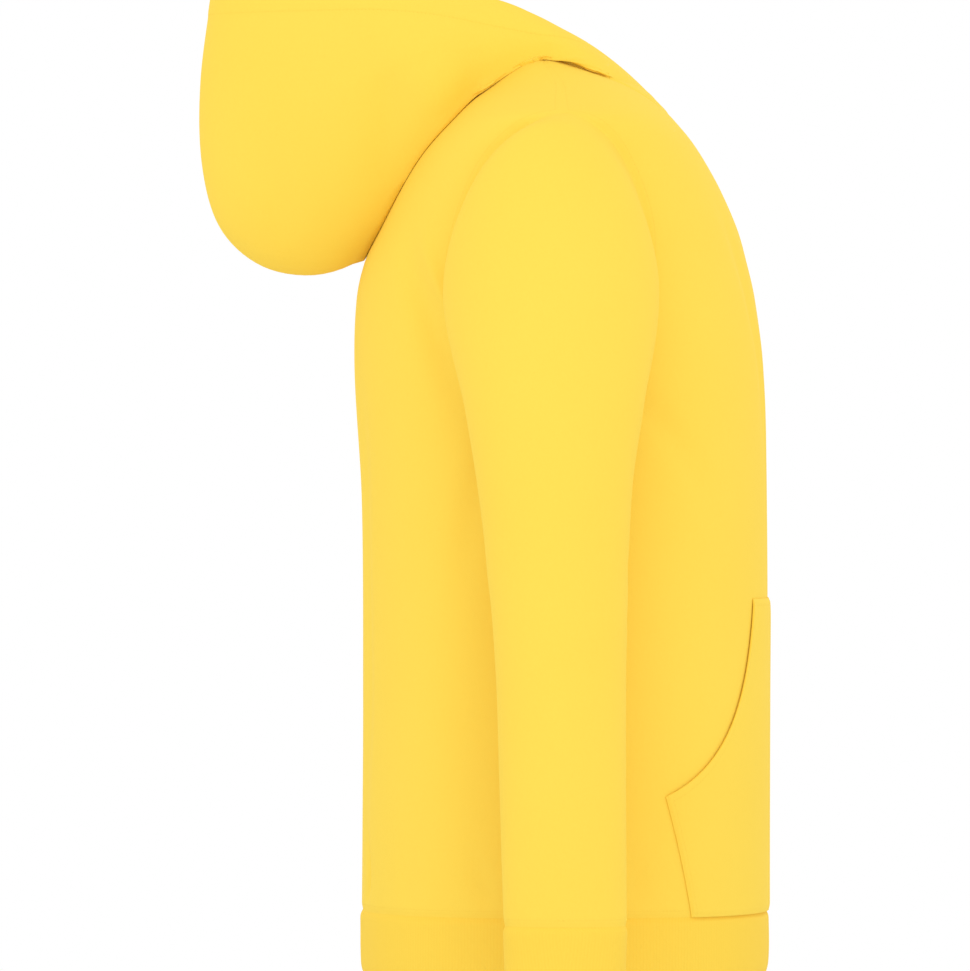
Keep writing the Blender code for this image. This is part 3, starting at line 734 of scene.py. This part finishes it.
def cloth_material(name, colour, settings, ribs, brushed):
    """Knitted cotton: loops, a soft nap, uneven dye, rib lines or a brushed inside, and stitches."""
    material = bpy.data.materials.new(name)
    material.use_nodes = True
    tree = material.node_tree
    shader = tree.nodes["Principled BSDF"]
    looks = {
        "Roughness": 0.94,
        "Specular IOR Level": 0.12,
        "Sheen Weight": 0.15 if brushed else 0.05,
        "Sheen Roughness": 0.45,
        "Sheen Tint": (1.0, 0.80, 0.28, 1.0),
    }
    for key, value in looks.items():
        shader.inputs[key].default_value = value

    nap = noise(tree, BRUSHED_NAP_SCALE if brushed else NAP_SCALE, detail=3.0, roughness=0.65)
    fibres = noise(tree, FIBRE_SCALE, detail=2.0, roughness=0.6)
    colour_now = dyed(tree, colour, nap, fibres)
    u, v = uv_parts(tree, "cloth")
    nap_height = maths(tree, "MULTIPLY", nap, BRUSHED_NAP_HEIGHT if brushed else NAP_HEIGHT)
    knit_height = BRUSHED_KNIT_HEIGHT if brushed else KNIT_HEIGHT
    height = maths(tree, "MULTIPLY_ADD", knitted(tree, u, v), knit_height, nap_height)
    height = maths(tree, "MULTIPLY_ADD", fibres, FIBRE_HEIGHT, height)
    if ribs:
        wave = maths(tree, "SINE", maths(tree, "MULTIPLY", u, 2 * math.pi / ribs))
        ridge = maths(tree, "POWER", maths(tree, "MULTIPLY_ADD", wave, 0.5, 0.5), RIB_FULLNESS)
        height = maths(tree, "MULTIPLY_ADD", ridge, RIB_HEIGHT, height)
        # painted shade: the grooves between the ribs are painted darker than the ridges
        colour_now = mixed(tree, ridge, shade(colour, *RIB_GROOVE_PAINTED_SHADE), colour_now)

    row, thread = stitched_row(tree, settings)
    height = maths(tree, "MULTIPLY_ADD", row, -ROW_DEPTH, height)
    height = maths(tree, "MULTIPLY_ADD", thread, THREAD_HEIGHT, height)
    # painted shade: the row that the topstitches draw in is painted darker
    row_painted_shade = maths(tree, "MULTIPLY", row, ROW_PAINTED_SHADE_SHARE)
    colour_now = mixed(tree, row_painted_shade, colour_now, shade(colour, *ROW_PAINTED_SHADE))
    tree.links.new(colour_now, shader.inputs["Base Color"])

    bump = node(tree, "ShaderNodeBump")
    bump.inputs["Strength"].default_value = BUMP_STRENGTH
    bump.inputs["Distance"].default_value = 1.0
    tree.links.new(height, bump.inputs["Height"])
    tree.links.new(bump.outputs["Normal"], shader.inputs["Normal"])
    return material


def cloth_for(settings, kind):
    """The named cloth, made once: fleece, fleece_inside or rib."""
    found = bpy.data.materials.get("soft_" + kind)
    if found:
        return found
    is_rib = kind == "rib"
    colour = tuple(settings.rib_colour if is_rib else settings.fleece_colour) + (1.0,)
    ribs = settings.rib_pitch if is_rib else 0.0
    return cloth_material("soft_" + kind, colour, settings, ribs, kind == "fleece_inside")


# ---------------------------------------------------------------- the body's two panels
def panel_grid(side, fine):
    """Angles and heights over half a panel, filled in between its four edges. side: 1 is front."""
    quarter = math.pi / 2
    drop = FRONT_NECK_DROP if side > 0 else BACK_NECK_DROP
    skirt = crowded(SKIRT_ROWS, SKIRT_DIVISIONS * fine, low=SKIRT_CROWDING)[:-1]
    scye = SKIRT_ROWS + crowded(SCYE_ROWS, SCYE_DIVISIONS * fine, high=SCYE_CROWDING)
    q = np.concatenate((skirt, scye))
    part = ramp(q, SKIRT_ROWS, SCYE_ROWS)
    skirt_z = HEM_SEAM_Z + (ARMHOLE_BOTTOM_Z - HEM_SEAM_Z) * ramp(q, 0.0, SKIRT_ROWS)
    hole_angle, hole_z = armhole(math.pi * (1 - part) * side)
    in_skirt = q < SKIRT_ROWS
    left = np.stack((np.where(in_skirt, 0.0, hole_angle), np.where(in_skirt, skirt_z, hole_z)), -1)
    middle_z = np.where(in_skirt, skirt_z, ARMHOLE_BOTTOM_Z + (-drop - ARMHOLE_BOTTOM_Z) * part)
    right = np.stack((np.full_like(q, quarter * side), middle_z), -1)
    columns = SHOULDER_COLUMNS + NECK_COLUMNS
    p = crowded(columns, PANEL_DIVISIONS * fine, low=PANEL_CROWDING)
    neck_part = ramp(p, SHOULDER_COLUMNS, NECK_COLUMNS)
    shoulder_part = ramp(p, 0.0, SHOULDER_COLUMNS)
    on_shoulder = p < SHOULDER_COLUMNS
    angle = quarter * neck_part * side
    top_z = np.where(on_shoulder, ARMHOLE_TOP_Z * (1 - shoulder_part), neckline(angle))
    top = np.stack((angle, top_z), -1)
    foot_angle = np.where(on_shoulder, NECK_COLUMN_ANGLE * shoulder_part,
                          NECK_COLUMN_ANGLE + (quarter - NECK_COLUMN_ANGLE) * neck_part) * side
    bottom = np.stack((foot_angle, np.full_like(p, HEM_SEAM_Z)), -1)
    u = (p / columns)[None, :, None]
    v = ((q / (SKIRT_ROWS + SCYE_ROWS)) ** PANEL_LEAN)[:, None, None]
    sides = left[:, None] * (1 - u) + right[:, None] * u
    ends = bottom[None] * (1 - v) + top[None] * v
    low = left[0] * (1 - u) + right[0] * u
    high = left[-1] * (1 - u) + right[-1] * u
    return sides + ends - (low * (1 - v) + high * v)


def seam_sink(distance, settings, share=1.0):
    """How deep the cloth is drawn in at this distance from a seam, as a share of the full depth."""
    return -settings.seam_depth / MM * share * bell(distance, settings.seam_reach / MM)


def neck_share(x):
    """The neck's seam lies flat at the front middle and is drawn in towards each side."""
    return NECK_SEAM * (1 - bell(x, NECK_FADE_X))


def armhole_share(z):
    """The armhole's seam lies flat over the shoulder and is drawn in lower down."""
    return ARMHOLE_SEAM + ARMHOLE_SEAM_GAIN * ramp(-z, *ARMHOLE_SEAM_FALL)


def body_crease(points):
    def place(angle, z):
        return on_body(np.radians(angle), z)
    return creased(points, BODY_CREASES, place)


def make_panel(side, name, settings):
    half = panel_grid(side, settings.fineness)
    angle = both_halves(half[..., 0], math.pi - half[..., 0])
    z = both_halves(half[..., 1], half[..., 1])
    if side > 0:
        angle, z = angle[:, ::-1], z[:, ::-1]
    base = on_body(angle, z)
    normal = body_normal(angle, z)
    across, up = lengths(base, 1), lengths(base, 0)
    from_top, from_side = up[-1:] - up, np.minimum(across, across[:, -1:] - across)
    from_edge = np.minimum.reduce((up, from_top, from_side))
    crease = body_crease(base) * (1 - bell(from_edge, CREASE_EASE))
    on_armhole = z[:, :1] > ARMHOLE_BOTTOM_Z
    side_share = np.where(on_armhole, armhole_share(z[:, :1]), SIDE_SEAM)
    top_x = base[-1, :, 0]
    top_share = np.where(np.abs(top_x) < NECK_POINT_X, neck_share(top_x), SHOULDER_SEAM)[None]
    sink = np.minimum.reduce((
        seam_sink(up, settings),
        seam_sink(from_top, settings, top_share),
        seam_sink(from_side, settings, side_share),
    ))
    outer = base + normal * (crease + sink)[..., None]
    inner = base + normal * (crease - settings.fleece_wall / MM)[..., None]
    stitched = dict.fromkeys(("first_row", "last_row", "first_column", "last_column"), 0.0)
    return wall_piece(name + "_cloth", name, "fleece", settings, outer, inner, stitched=stitched)


# ---------------------------------------------------------------- the pocket
def pocket_grid(rows, opening_columns, top_columns):
    """Half of the pocket: angle, height, how far out it gapes, and how far up its opening it is."""
    way = np.linspace(0, 1, opening_columns + 1) ** POCKET_OPENING_POWER
    low = np.array((POCKET_CORNER_HALF, POCKET_CORNER_Z))
    bend = np.array((POCKET_BEND_HALF, POCKET_BEND_Z))
    high = np.array((POCKET_TOP_HALF, POCKET_TOP_Z))
    w = way[:, None]
    curve = low * (1 - w) ** 2 + bend * 2 * w * (1 - w) + high * w ** 2
    along_top = POCKET_TOP_HALF * (1 - np.linspace(0, 1, top_columns + 1)[1:])
    half = np.concatenate((curve[:, 0], along_top))
    top = np.concatenate((curve[:, 1], np.full(top_columns, POCKET_TOP_Z)))
    open_part = np.concatenate((way, np.ones(top_columns)))
    foot_half = half * POCKET_FOOT_HALF / POCKET_CORNER_HALF
    part = (0.5 - 0.5 * np.cos(np.linspace(0, math.pi, rows + 1)))[:, None]
    z = HEM_SEAM_Z + (top - HEM_SEAM_Z) * part
    x = foot_half + (half - foot_half) * part
    gape = POCKET_GAPE * np.sin(math.pi * open_part) * part ** POCKET_GAPE_POWER
    return angle_at_x(x, z), z, gape, np.broadcast_to(open_part, z.shape)


def make_pocket(settings):
    fine = settings.fineness
    divisions = POCKET_DIVISIONS * fine
    angle, z, gape, open_part = pocket_grid(divisions, divisions, POCKET_TOP_DIVISIONS * fine)
    angle = both_halves(angle, math.pi - angle)[:, ::-1]
    z, gape, open_part = (both_halves(a, a)[:, ::-1] for a in (z, gape, open_part))
    base = on_body(angle, z)
    normal = body_normal(angle, z)
    across, up = lengths(base, 1), lengths(base, 0)
    # sewn down along both sides and the straight top; the curved openings stand free
    from_side = np.minimum(across, across[:, -1:] - across)
    from_top = (up[-1:] - up) + POCKET_FREE * np.clip((1 - open_part) * POCKET_FREE_FALL, 0, 1)
    sewn = np.minimum(from_side, from_top)
    lift = POCKET_LIFT + POCKET_SWELL * (1 - bell(sewn, POCKET_SWELL_REACH)) + gape
    crown = settings.pocket_wall / MM * (1 - POCKET_EDGE_THINNING * bell(sewn, POCKET_EDGE_REACH))
    crease = body_crease(base) * (1 - bell(up, CREASE_EASE))
    down = seam_sink(up, settings)
    outer = base + normal * (crease + down + lift + crown)[..., None]
    closing = 1 - POCKET_FOOT_CLOSING * bell(up, POCKET_FOOT_REACH)
    inner = base + normal * (crease + down + lift * closing)[..., None]
    stitched = {"last_row": 0.0, "first_column": 0.0, "last_column": 0.0}
    return wall_piece("pocket_cloth", "pocket", "fleece", settings, outer, inner,
                      round_ends=("last_row",), stitched=stitched)


# ---------------------------------------------------------------- sleeves, cuffs and hem band
def section_ring(row, turns):
    """One section of the sleeve, round from its outer line."""
    outer_x, outer_z, inner_x, inner_z, mid_y, half_y, full = row
    middle = np.array(((outer_x + inner_x) / 2, mid_y, (outer_z + inner_z) / 2))
    reach = np.array(((outer_x - inner_x) / 2, 0.0, (outer_z - inner_z) / 2))
    c, s = np.cos(turns), np.sin(turns)
    fuller = 1 + full * (((1 - c) / 2) ** 2 - 0.25)
    ring = middle + reach * c[:, None]
    ring[:, 1] -= half_y * fuller * s
    return ring


def sleeve_rings(turns):
    """The armhole's edge, a ring just beyond it, and the sleeve's sections, and the edge's normals."""
    angle, z = armhole(turns)
    point, normal = on_body(angle, z), body_normal(angle, z)
    ahead = on_body(*armhole(turns + 0.05)) - on_body(*armhole(turns - 0.05))
    middle_z = np.full_like(z, (ARMHOLE_TOP_Z + ARMHOLE_BOTTOM_Z) / 2)
    middle = np.stack((point[:, 0], section(z)[1], middle_z), -1)
    beyond = towards(unit(np.cross(ahead, normal)), point, middle)
    rings = [point, point + beyond * SLEEVE_HEAD_OUT + normal * SLEEVE_HEAD_RISE]
    rings += [section_ring(row, turns) for row in SLEEVE_SECTIONS]
    return np.array(rings), normal


def sleeve_creases(side):
    """The sleeve's creases: the left one's are slighter, further round and a little lower."""
    if side == "right":
        return SLEEVE_CREASES
    lines = []
    for depth, width, marks in SLEEVE_CREASES:
        moved = [(turn + LEFT_FURTHER, down + LEFT_LOWER if down < CUFF_GATHERS else down)
                 for turn, down in marks]
        lines.append((depth * LEFT_SLEEVE_SHARE, width, moved))
    return lines


def make_sleeve(side, settings):
    fine = settings.fineness
    # the knots come from their own even turns, so they are the same at every fineness
    knots = ring_knots(sleeve_rings(np.linspace(0, 2 * math.pi, SLEEVE_KNOT_TURNS))[0])
    rings, edge_normal = sleeve_rings(full_turn(SLEEVE_ROUND * fine))
    base = smooth(knots, rings, crowded(1.0, SLEEVE_DOWN * fine, *CLOTH_CROWDING))
    up = lengths(base, 0)
    normal = edge_blended(normals_of(base, True), edge_normal, up, SLEEVE_HEAD_TURN)

    def place(turn, down):
        return between_rings(knots, sleeve_rings(np.radians(turn))[0], down)

    from_end = np.minimum(up, up[-1:] - up)
    crease = creased(base, sleeve_creases(side), place) * (1 - bell(from_end, SLEEVE_EASE))
    sink = seam_sink(up, settings, armhole_share(base[0, :, 2])) + seam_sink(up[-1:] - up, settings)
    outer = base + normal * (crease + sink)[..., None]
    inner = base + normal * (crease - settings.fleece_wall / MM)[..., None]
    return wall_piece("sleeve_cloth_" + side, "sleeve_" + side, "fleece", settings,
                      *on_side(side, outer, inner), ring=True, stitched={"last_row": 0.0})


def rib_profile(table, down, settings):
    """How far a rib piece stands out of the line of its seam, drawn in beside it."""
    drops, proud = np.array(table).T
    return smooth(drops, proud, down) - proud[0] * bell(down, RIB_SEAM_REACH) + seam_sink(down, settings)


def rib_swell(waves, turns, down, height, share):
    """Soft waves round a rib piece, which fade out at its two edges."""
    wave = sum(depth * np.sin(times * turns + start) for depth, times, start in waves)
    return ((np.sin(math.pi * ramp(down, 0.0, height)) * share)[:, None] * wave)[..., None]


def make_cuff(side, settings):
    fine = settings.fineness
    turns = full_turn(CUFF_ROUND * fine)
    down = crowded(CUFF_HEIGHT, RIB_DOWN * fine, *RIB_CROWDING)
    proud = rib_profile(CUFF_PROFILE, down, settings)
    outer_x, _, inner_x, _, mid_y, half_y, full = SLEEVE_SECTIONS[-1]

    def rings(wall):
        return np.array([
            section_ring((outer_x + out, CUFF_SEAM_Z - drop, inner_x - out, CUFF_SEAM_Z - drop,
                          mid_y, half_y + out, full), turns)
            for drop, out in zip(down, proud - wall)
        ])

    outer, inner = rings(0.0), rings(settings.rib_wall / MM)
    swell = normals_of(outer, True) * rib_swell(CUFF_WAVES, turns, down, CUFF_HEIGHT, CUFF_SWELL)
    return wall_piece("cuff_rib_" + side, "cuff_" + side, "rib", settings,
                      *on_side(side, outer + swell, inner + swell), ring=True, round_ends=("last_row",))


def make_hem_band(settings):
    fine = settings.fineness
    angle = full_turn(BAND_ROUND * fine)
    down = crowded(BAND_HEIGHT, RIB_DOWN * fine, *RIB_CROWDING)
    seam_z = np.full_like(angle, HEM_SEAM_Z)
    normal = unit(body_normal(angle, seam_z) * np.array((1.0, 1.0, 0.0)))
    swell = rib_swell(BAND_WAVES, angle, down, BAND_HEIGHT, BAND_SWELL)
    proud = rib_profile(BAND_PROFILE, down, settings)[:, None, None]
    outer = on_body(angle, seam_z)[None] + normal[None] * (proud + swell)
    inner = outer - normal[None] * settings.rib_wall / MM
    for grid in (outer, inner):
        grid[..., 2] = HEM_SEAM_Z - down[:, None]
    return wall_piece("hem_band_rib", "hem_band", "rib", settings, outer, inner,
                      ring=True, round_ends=("last_row",))


# ---------------------------------------------------------------- the hood
def hood_lines(part):
    """The hood's loops at shares of the way round from the front middle to the centre seam."""
    rows = np.array(HOOD_LOOPS)
    zero = np.zeros(len(rows))
    front = np.stack((zero, rows[:, 0], rows[:, 1]), -1)
    neck_side, pouch_side, pouch_back = rows[:, 2:5], rows[:, 5:8], rows[:, 8:11]
    back = np.stack((zero, rows[:, 11], rows[:, 12]), -1)
    before = neck_side * MIRROR
    after = pouch_back * np.array((-HOOD_POUCH_ROUNDNESS, 1.0, 1.0))
    knots = (before, front, neck_side, pouch_side, pouch_back, back, after)
    spans = len(knots) - 3
    lines = []
    for p in part:
        k = min(int(p * spans), spans - 1)
        a, b, c, d = knots[k:k + 4]
        lines.append(hermite(b, c, (c - a) / 2, (d - b) / 2, p * spans - k))
    return np.moveaxis(np.array(lines), 0, 1)


def rested(points, gap, settling=0.0, body_height=0.0):
    """Points moved out to the gap from the body, where they are nearer to it or inside it."""
    points = points.copy()
    for turn in range(REST_TURNS):
        z = np.minimum(points[..., 2], REST_TOP_Z)
        half, middle, depth, square = section(z)
        x_share, y_share = points[..., 0] / half, (middle - points[..., 1]) / depth
        size = (np.abs(x_share) ** square + np.abs(y_share) ** square) ** (1 / square)
        near = size <= REST_NEAR
        angle = np.arctan2(y_share, x_share)
        normal = body_normal(angle, z)
        distance = ((points - on_body(angle, z)) * normal).sum(-1) - body_height
        short = np.where(near, np.maximum(gap - distance, 0.0), 0.0)
        if turn == 0:
            # cloth that hangs just above the body settles towards it
            over = ramp(distance, gap, SETTLE_REACH)
            short -= np.where(near, settling * SETTLE_REACH * over * (1 - over), 0.0)
        points += normal * short[..., None]
    return points


def hood_rings(part):
    """The neckline, the stand of the hood just inside it, and the hood's loops."""
    angle = math.pi / 2 - math.pi * part
    z = neckline(angle)
    point, normal = on_body(angle, z), body_normal(angle, z)
    ahead = on_body(angle - 0.02, neckline(angle - 0.02)) - on_body(angle + 0.02, neckline(angle + 0.02))
    middle = np.stack((np.zeros_like(z), np.full_like(z, NECK_MIDDLE_Y), z), -1)
    beyond = towards(unit(np.cross(normal, ahead)), point, middle)
    stand = point + beyond * HOOD_STAND_IN
    stand[:, 2] += HOOD_STAND_RISE * np.cos(angle) ** 2
    return np.concatenate(([point, stand], hood_lines(part))), normal


def in_middle_plane(grid):
    """Puts the front middle and the centre seam of half a hood into the plane x = 0."""
    grid[:, (0, -1), 0] = 0.0
    return grid


def hood_folds(side, base, up, across, part, knots):
    """How far out the hood's creases and the roll along its neck seam move its cloth."""
    def place(round_part, out_part):
        return rested(between_rings(knots, hood_rings(round_part)[0], out_part), HOOD_REST)

    share = 1.0 if side == "right" else LEFT_HOOD_SHARE
    lines = [(depth * share, width, marks) for depth, width, marks in HOOD_CREASES]
    from_seam = np.minimum.reduce((up, across[:, -1:] - across, across))
    roll = NECK_ROLL * bell(up - NECK_ROLL_OUT, NECK_ROLL_WIDTH)
    roll = roll * np.sin(math.pi * ramp(part, *NECK_ROLL_PART))
    return creased(base, lines, place) * (1 - bell(from_seam, CREASE_EASE)) + roll


def make_hood(side, settings):
    fine = settings.fineness
    part = np.linspace(0, 1, HOOD_ROUND * fine + 1)
    rings, edge_normal = hood_rings(part)
    knots = ring_knots(rings)
    out = crowded(1.0, HOOD_OUT * fine, *CLOTH_CROWDING)[:, None]
    base = smooth(knots, rings, out[:, 0])
    onset = ramp(out, knots[1], knots[3] - knots[1])
    settling = ramp(part, *SETTLING_PART) * ramp(out, knots[2], knots[4] - knots[2])
    on_loops = out[..., None] > knots[1]
    base = in_middle_plane(np.where(on_loops, rested(base, HOOD_REST * onset, settling), base))
    across, up = lengths(base, 1), lengths(base, 0)
    normal = edge_blended(normals_of(base, False), edge_normal, up, HOOD_STAND_TURN)
    normal = unit(in_middle_plane(normal))

    crease = hood_folds(side, base, up, across, part, knots)
    hem = 1 / (1 + np.exp((up[-1:] - up - settings.hood_hem / MM) / HEM_STEP_REACH))
    neck_sink = seam_sink(up, settings, neck_share(base[:1, :, 0]))
    sink = np.minimum(neck_sink, seam_sink(across[:, -1:] - across, settings, HOOD_SEAM))
    outer = base + normal * (crease + sink + HEM_STEP * hem)[..., None]
    inner = base + normal * (crease - settings.fleece_wall / MM * (1 + HEM_THICKER * hem))[..., None]

    # the hood's own folds close on the body's where the hood lies on it
    lying = ramp(part, *LYING_PART) * ramp(up, *LYING_OUT)
    body_height = body_crease(outer * MIRROR if side == "right" else outer)
    closed = rested(outer, HOOD_CONTACT, lying, body_height)
    closed = outer + (closed - outer) * lying[..., None]
    inner += closed - outer
    outer = in_middle_plane(closed)
    further = settings.hood_hem / MM - settings.stitch_inset / MM
    seam_column = "first_column" if side == "right" else "last_column"
    return wall_piece("hood_cloth_" + side, "hood_" + side, "fleece", settings,
                      *on_side(side, outer, inner), round_ends=("last_row",),
                      stitched={"last_row": further, seam_column: 0.0})


# ---------------------------------------------------------------- settings, operators and panel
def size_setting(name, default, description):
    return bpy.props.FloatProperty(name=name, default=default, description=description,
                                   min=0.0, unit="LENGTH", subtype="DISTANCE", precision=5)


def colour_setting(name, default, description):
    return bpy.props.FloatVectorProperty(name=name, default=default, description=description,
                                         size=3, min=0.0, max=1.0, subtype="COLOR")


class HoodieSettings(bpy.types.PropertyGroup):
    fleece_colour: colour_setting("Fleece colour", (0.993, 0.700, 0.088), "Yellow of the fleece panels")
    rib_colour: colour_setting("Rib colour", (0.985, 0.676, 0.077), "Yellow of the hem band and cuffs")
    fleece_wall: size_setting("Fleece thickness", 0.0024, "Thickness of the panels' cloth")
    pocket_wall: size_setting("Pocket thickness", 0.0018, "Thickness of the pocket, pressed flat")
    rib_wall: size_setting("Rib thickness", 0.0032, "Thickness of the doubled rib")
    rib_pitch: size_setting("Rib pitch", 0.0026, "Distance from one rib line to the next")
    seam_depth: size_setting("Seam depth", 0.0008, "How far a seam draws the cloth in")
    seam_reach: size_setting("Seam reach", 0.0026, "How far from a seam the cloth is drawn in")
    stitch_length: size_setting("Stitch length", 0.0032, "Length of one topstitch")
    stitch_inset: size_setting("Stitch inset", 0.005, "Distance from a seam to its row of topstitches")
    hood_hem: size_setting("Hood hem", 0.024, "Width of the turned hem round the hood's opening")
    fineness: bpy.props.IntProperty(name="Fineness", default=10, min=4, max=14,
                                    description="How finely the cloth is divided")


class StudioSettings(bpy.types.PropertyGroup):
    floor_height: bpy.props.FloatProperty(name="Floor height", default=-0.95,
                                          description="Height of the floor, below the hanging garment",
                                          unit="LENGTH", subtype="DISTANCE")
    floor_radius: size_setting("Floor radius", 2.2, "Radius of the round floor")
    sky: bpy.props.FloatProperty(name="Surrounding light", default=1.0, min=0.0,
                                 description="Strength of the even light from all round")
    key: bpy.props.FloatProperty(name="Key light", default=14.4, min=0.0, subtype="POWER", unit="POWER",
                                 description="Power of the large soft light beside the camera")
    camera_distance: size_setting("Camera distance", 7.3, "Distance from the camera to the garment's middle")
    frame_width: size_setting("Frame width", 0.7405, "Width that the camera takes in at the garment's middle")


class HOODIE_OT_body(bpy.types.Operator):
    """Make the front and back panels"""
    bl_idname = "hoodie.body"
    bl_label = "Front and back"

    def execute(self, context):
        settings = context.scene.hoodie
        front = make_panel(1, "front", settings)
        back = make_panel(-1, "back", settings)
        return {"FINISHED"}


class HOODIE_OT_pocket(bpy.types.Operator):
    """Make the kangaroo pocket on the front"""
    bl_idname = "hoodie.pocket"
    bl_label = "Pocket"

    def execute(self, context):
        piece = make_pocket(context.scene.hoodie)
        return {"FINISHED"}


class HOODIE_OT_sleeves(bpy.types.Operator):
    """Make the two sleeves"""
    bl_idname = "hoodie.sleeves"
    bl_label = "Sleeves"

    def execute(self, context):
        for side in ("left", "right"):
            piece = make_sleeve(side, context.scene.hoodie)
        return {"FINISHED"}


class HOODIE_OT_ribs(bpy.types.Operator):
    """Make the two cuffs and the hem band"""
    bl_idname = "hoodie.ribs"
    bl_label = "Cuffs and hem band"

    def execute(self, context):
        for side in ("left", "right"):
            piece = make_cuff(side, context.scene.hoodie)
        piece = make_hem_band(context.scene.hoodie)
        return {"FINISHED"}


class HOODIE_OT_hood(bpy.types.Operator):
    """Make the two halves of the hood, down at the back"""
    bl_idname = "hoodie.hood"
    bl_label = "Hood"

    def execute(self, context):
        for side in ("left", "right"):
            piece = make_hood(side, context.scene.hoodie)
        return {"FINISHED"}


class HOODIE_OT_studio(bpy.types.Operator):
    """Make the floor, the soft light, the white surround and the camera"""
    bl_idname = "hoodie.studio"
    bl_label = "Studio"

    def execute(self, context):
        settings = context.scene.hoodie_studio
        make_floor(settings)
        make_light(settings)
        make_camera(settings)
        return {"FINISHED"}


def make_floor(settings):
    bpy.ops.object.select_all(action="DESELECT")
    bpy.ops.mesh.primitive_circle_add(vertices=96, radius=settings.floor_radius, fill_type="NGON",
                                      location=(0.0, 0.0, settings.floor_height))
    floor = bpy.context.object
    floor.name = "studio_floor"
    material = bpy.data.materials.new("pale_floor")
    material.use_nodes = True
    shader = material.node_tree.nodes["Principled BSDF"]
    shader.inputs["Base Color"].default_value = (0.8, 0.8, 0.8, 1.0)
    shader.inputs["Roughness"].default_value = 0.8
    floor.data.materials.append(material)


def make_light(settings):
    world = bpy.data.worlds.new("white_studio")
    bpy.context.scene.world = world
    world.use_nodes = True
    tree = world.node_tree
    background = tree.nodes["Background"]
    rays = node(tree, "ShaderNodeLightPath").outputs
    seen = maths(tree, "MAXIMUM", rays["Is Camera Ray"], rays["Is Glossy Ray"])
    seen = maths(tree, "MAXIMUM", seen, rays["Is Transmission Ray"])
    strength = maths(tree, "MULTIPLY_ADD", seen, 1.0 - settings.sky, settings.sky)
    background.inputs["Color"].default_value = (1.0, 1.0, 1.0, 1.0)
    tree.links.new(strength, background.inputs["Strength"])
    for name, place, share in LAMPS:
        lamp = bpy.data.lights.new(name, "AREA")
        lamp.shape = "DISK"
        lamp.size = LAMP_SIZE
        lamp.energy = settings.key * share
        stand = bpy.data.objects.new(name, lamp)
        bpy.context.scene.collection.objects.link(stand)
        stand.location = place
        x, y, z = np.array(LAMP_AIM) - np.array(place)
        tilt = math.atan2(z, math.hypot(x, y))
        stand.rotation_euler = (math.pi / 2 + tilt, 0.0, math.atan2(y, x) - math.pi / 2)


def make_camera(settings):
    lens = bpy.data.cameras.new("camera")
    lens.type = "PERSP"
    lens.sensor_fit = "HORIZONTAL"
    lens.sensor_width = 36.0
    lens.lens = lens.sensor_width * settings.camera_distance / settings.frame_width
    lens.clip_end = 60.0
    camera = bpy.data.objects.new("camera", lens)
    bpy.context.scene.collection.objects.link(camera)
    camera.location = (-settings.camera_distance, CAMERA_Y, CAMERA_Z)
    camera.rotation_euler = (math.pi / 2, 0.0, -math.pi / 2)
    bpy.context.scene.camera = camera
    bpy.context.scene.view_settings.view_transform = "Standard"


STEPS = (
    HOODIE_OT_studio, HOODIE_OT_body, HOODIE_OT_pocket,
    HOODIE_OT_sleeves, HOODIE_OT_ribs, HOODIE_OT_hood,
)


class HOODIE_PT_panel(bpy.types.Panel):
    bl_label = "Hoodie"
    bl_idname = "HOODIE_PT_panel"
    bl_space_type = "VIEW_3D"
    bl_region_type = "UI"
    bl_category = "Hoodie"

    def draw(self, context):
        column = self.layout.column()
        for settings in (context.scene.hoodie, context.scene.hoodie_studio):
            for key in settings.__annotations__:
                column.prop(settings, key)
        for step in STEPS:
            column.operator(step.bl_idname)


CLASSES = (HoodieSettings, StudioSettings, *STEPS, HOODIE_PT_panel)


def register():
    for cls in CLASSES:
        bpy.utils.register_class(cls)
    bpy.types.Scene.hoodie = bpy.props.PointerProperty(type=HoodieSettings)
    bpy.types.Scene.hoodie_studio = bpy.props.PointerProperty(type=StudioSettings)


def unregister():
    del bpy.types.Scene.hoodie_studio
    del bpy.types.Scene.hoodie
    for cls in reversed(CLASSES):
        bpy.utils.unregister_class(cls)


def main():
    register()
    bpy.ops.hoodie.studio()
    bpy.ops.hoodie.body()
    bpy.ops.hoodie.pocket()
    bpy.ops.hoodie.sleeves()
    bpy.ops.hoodie.ribs()
    bpy.ops.hoodie.hood()


if __name__ == "__main__":
    main()
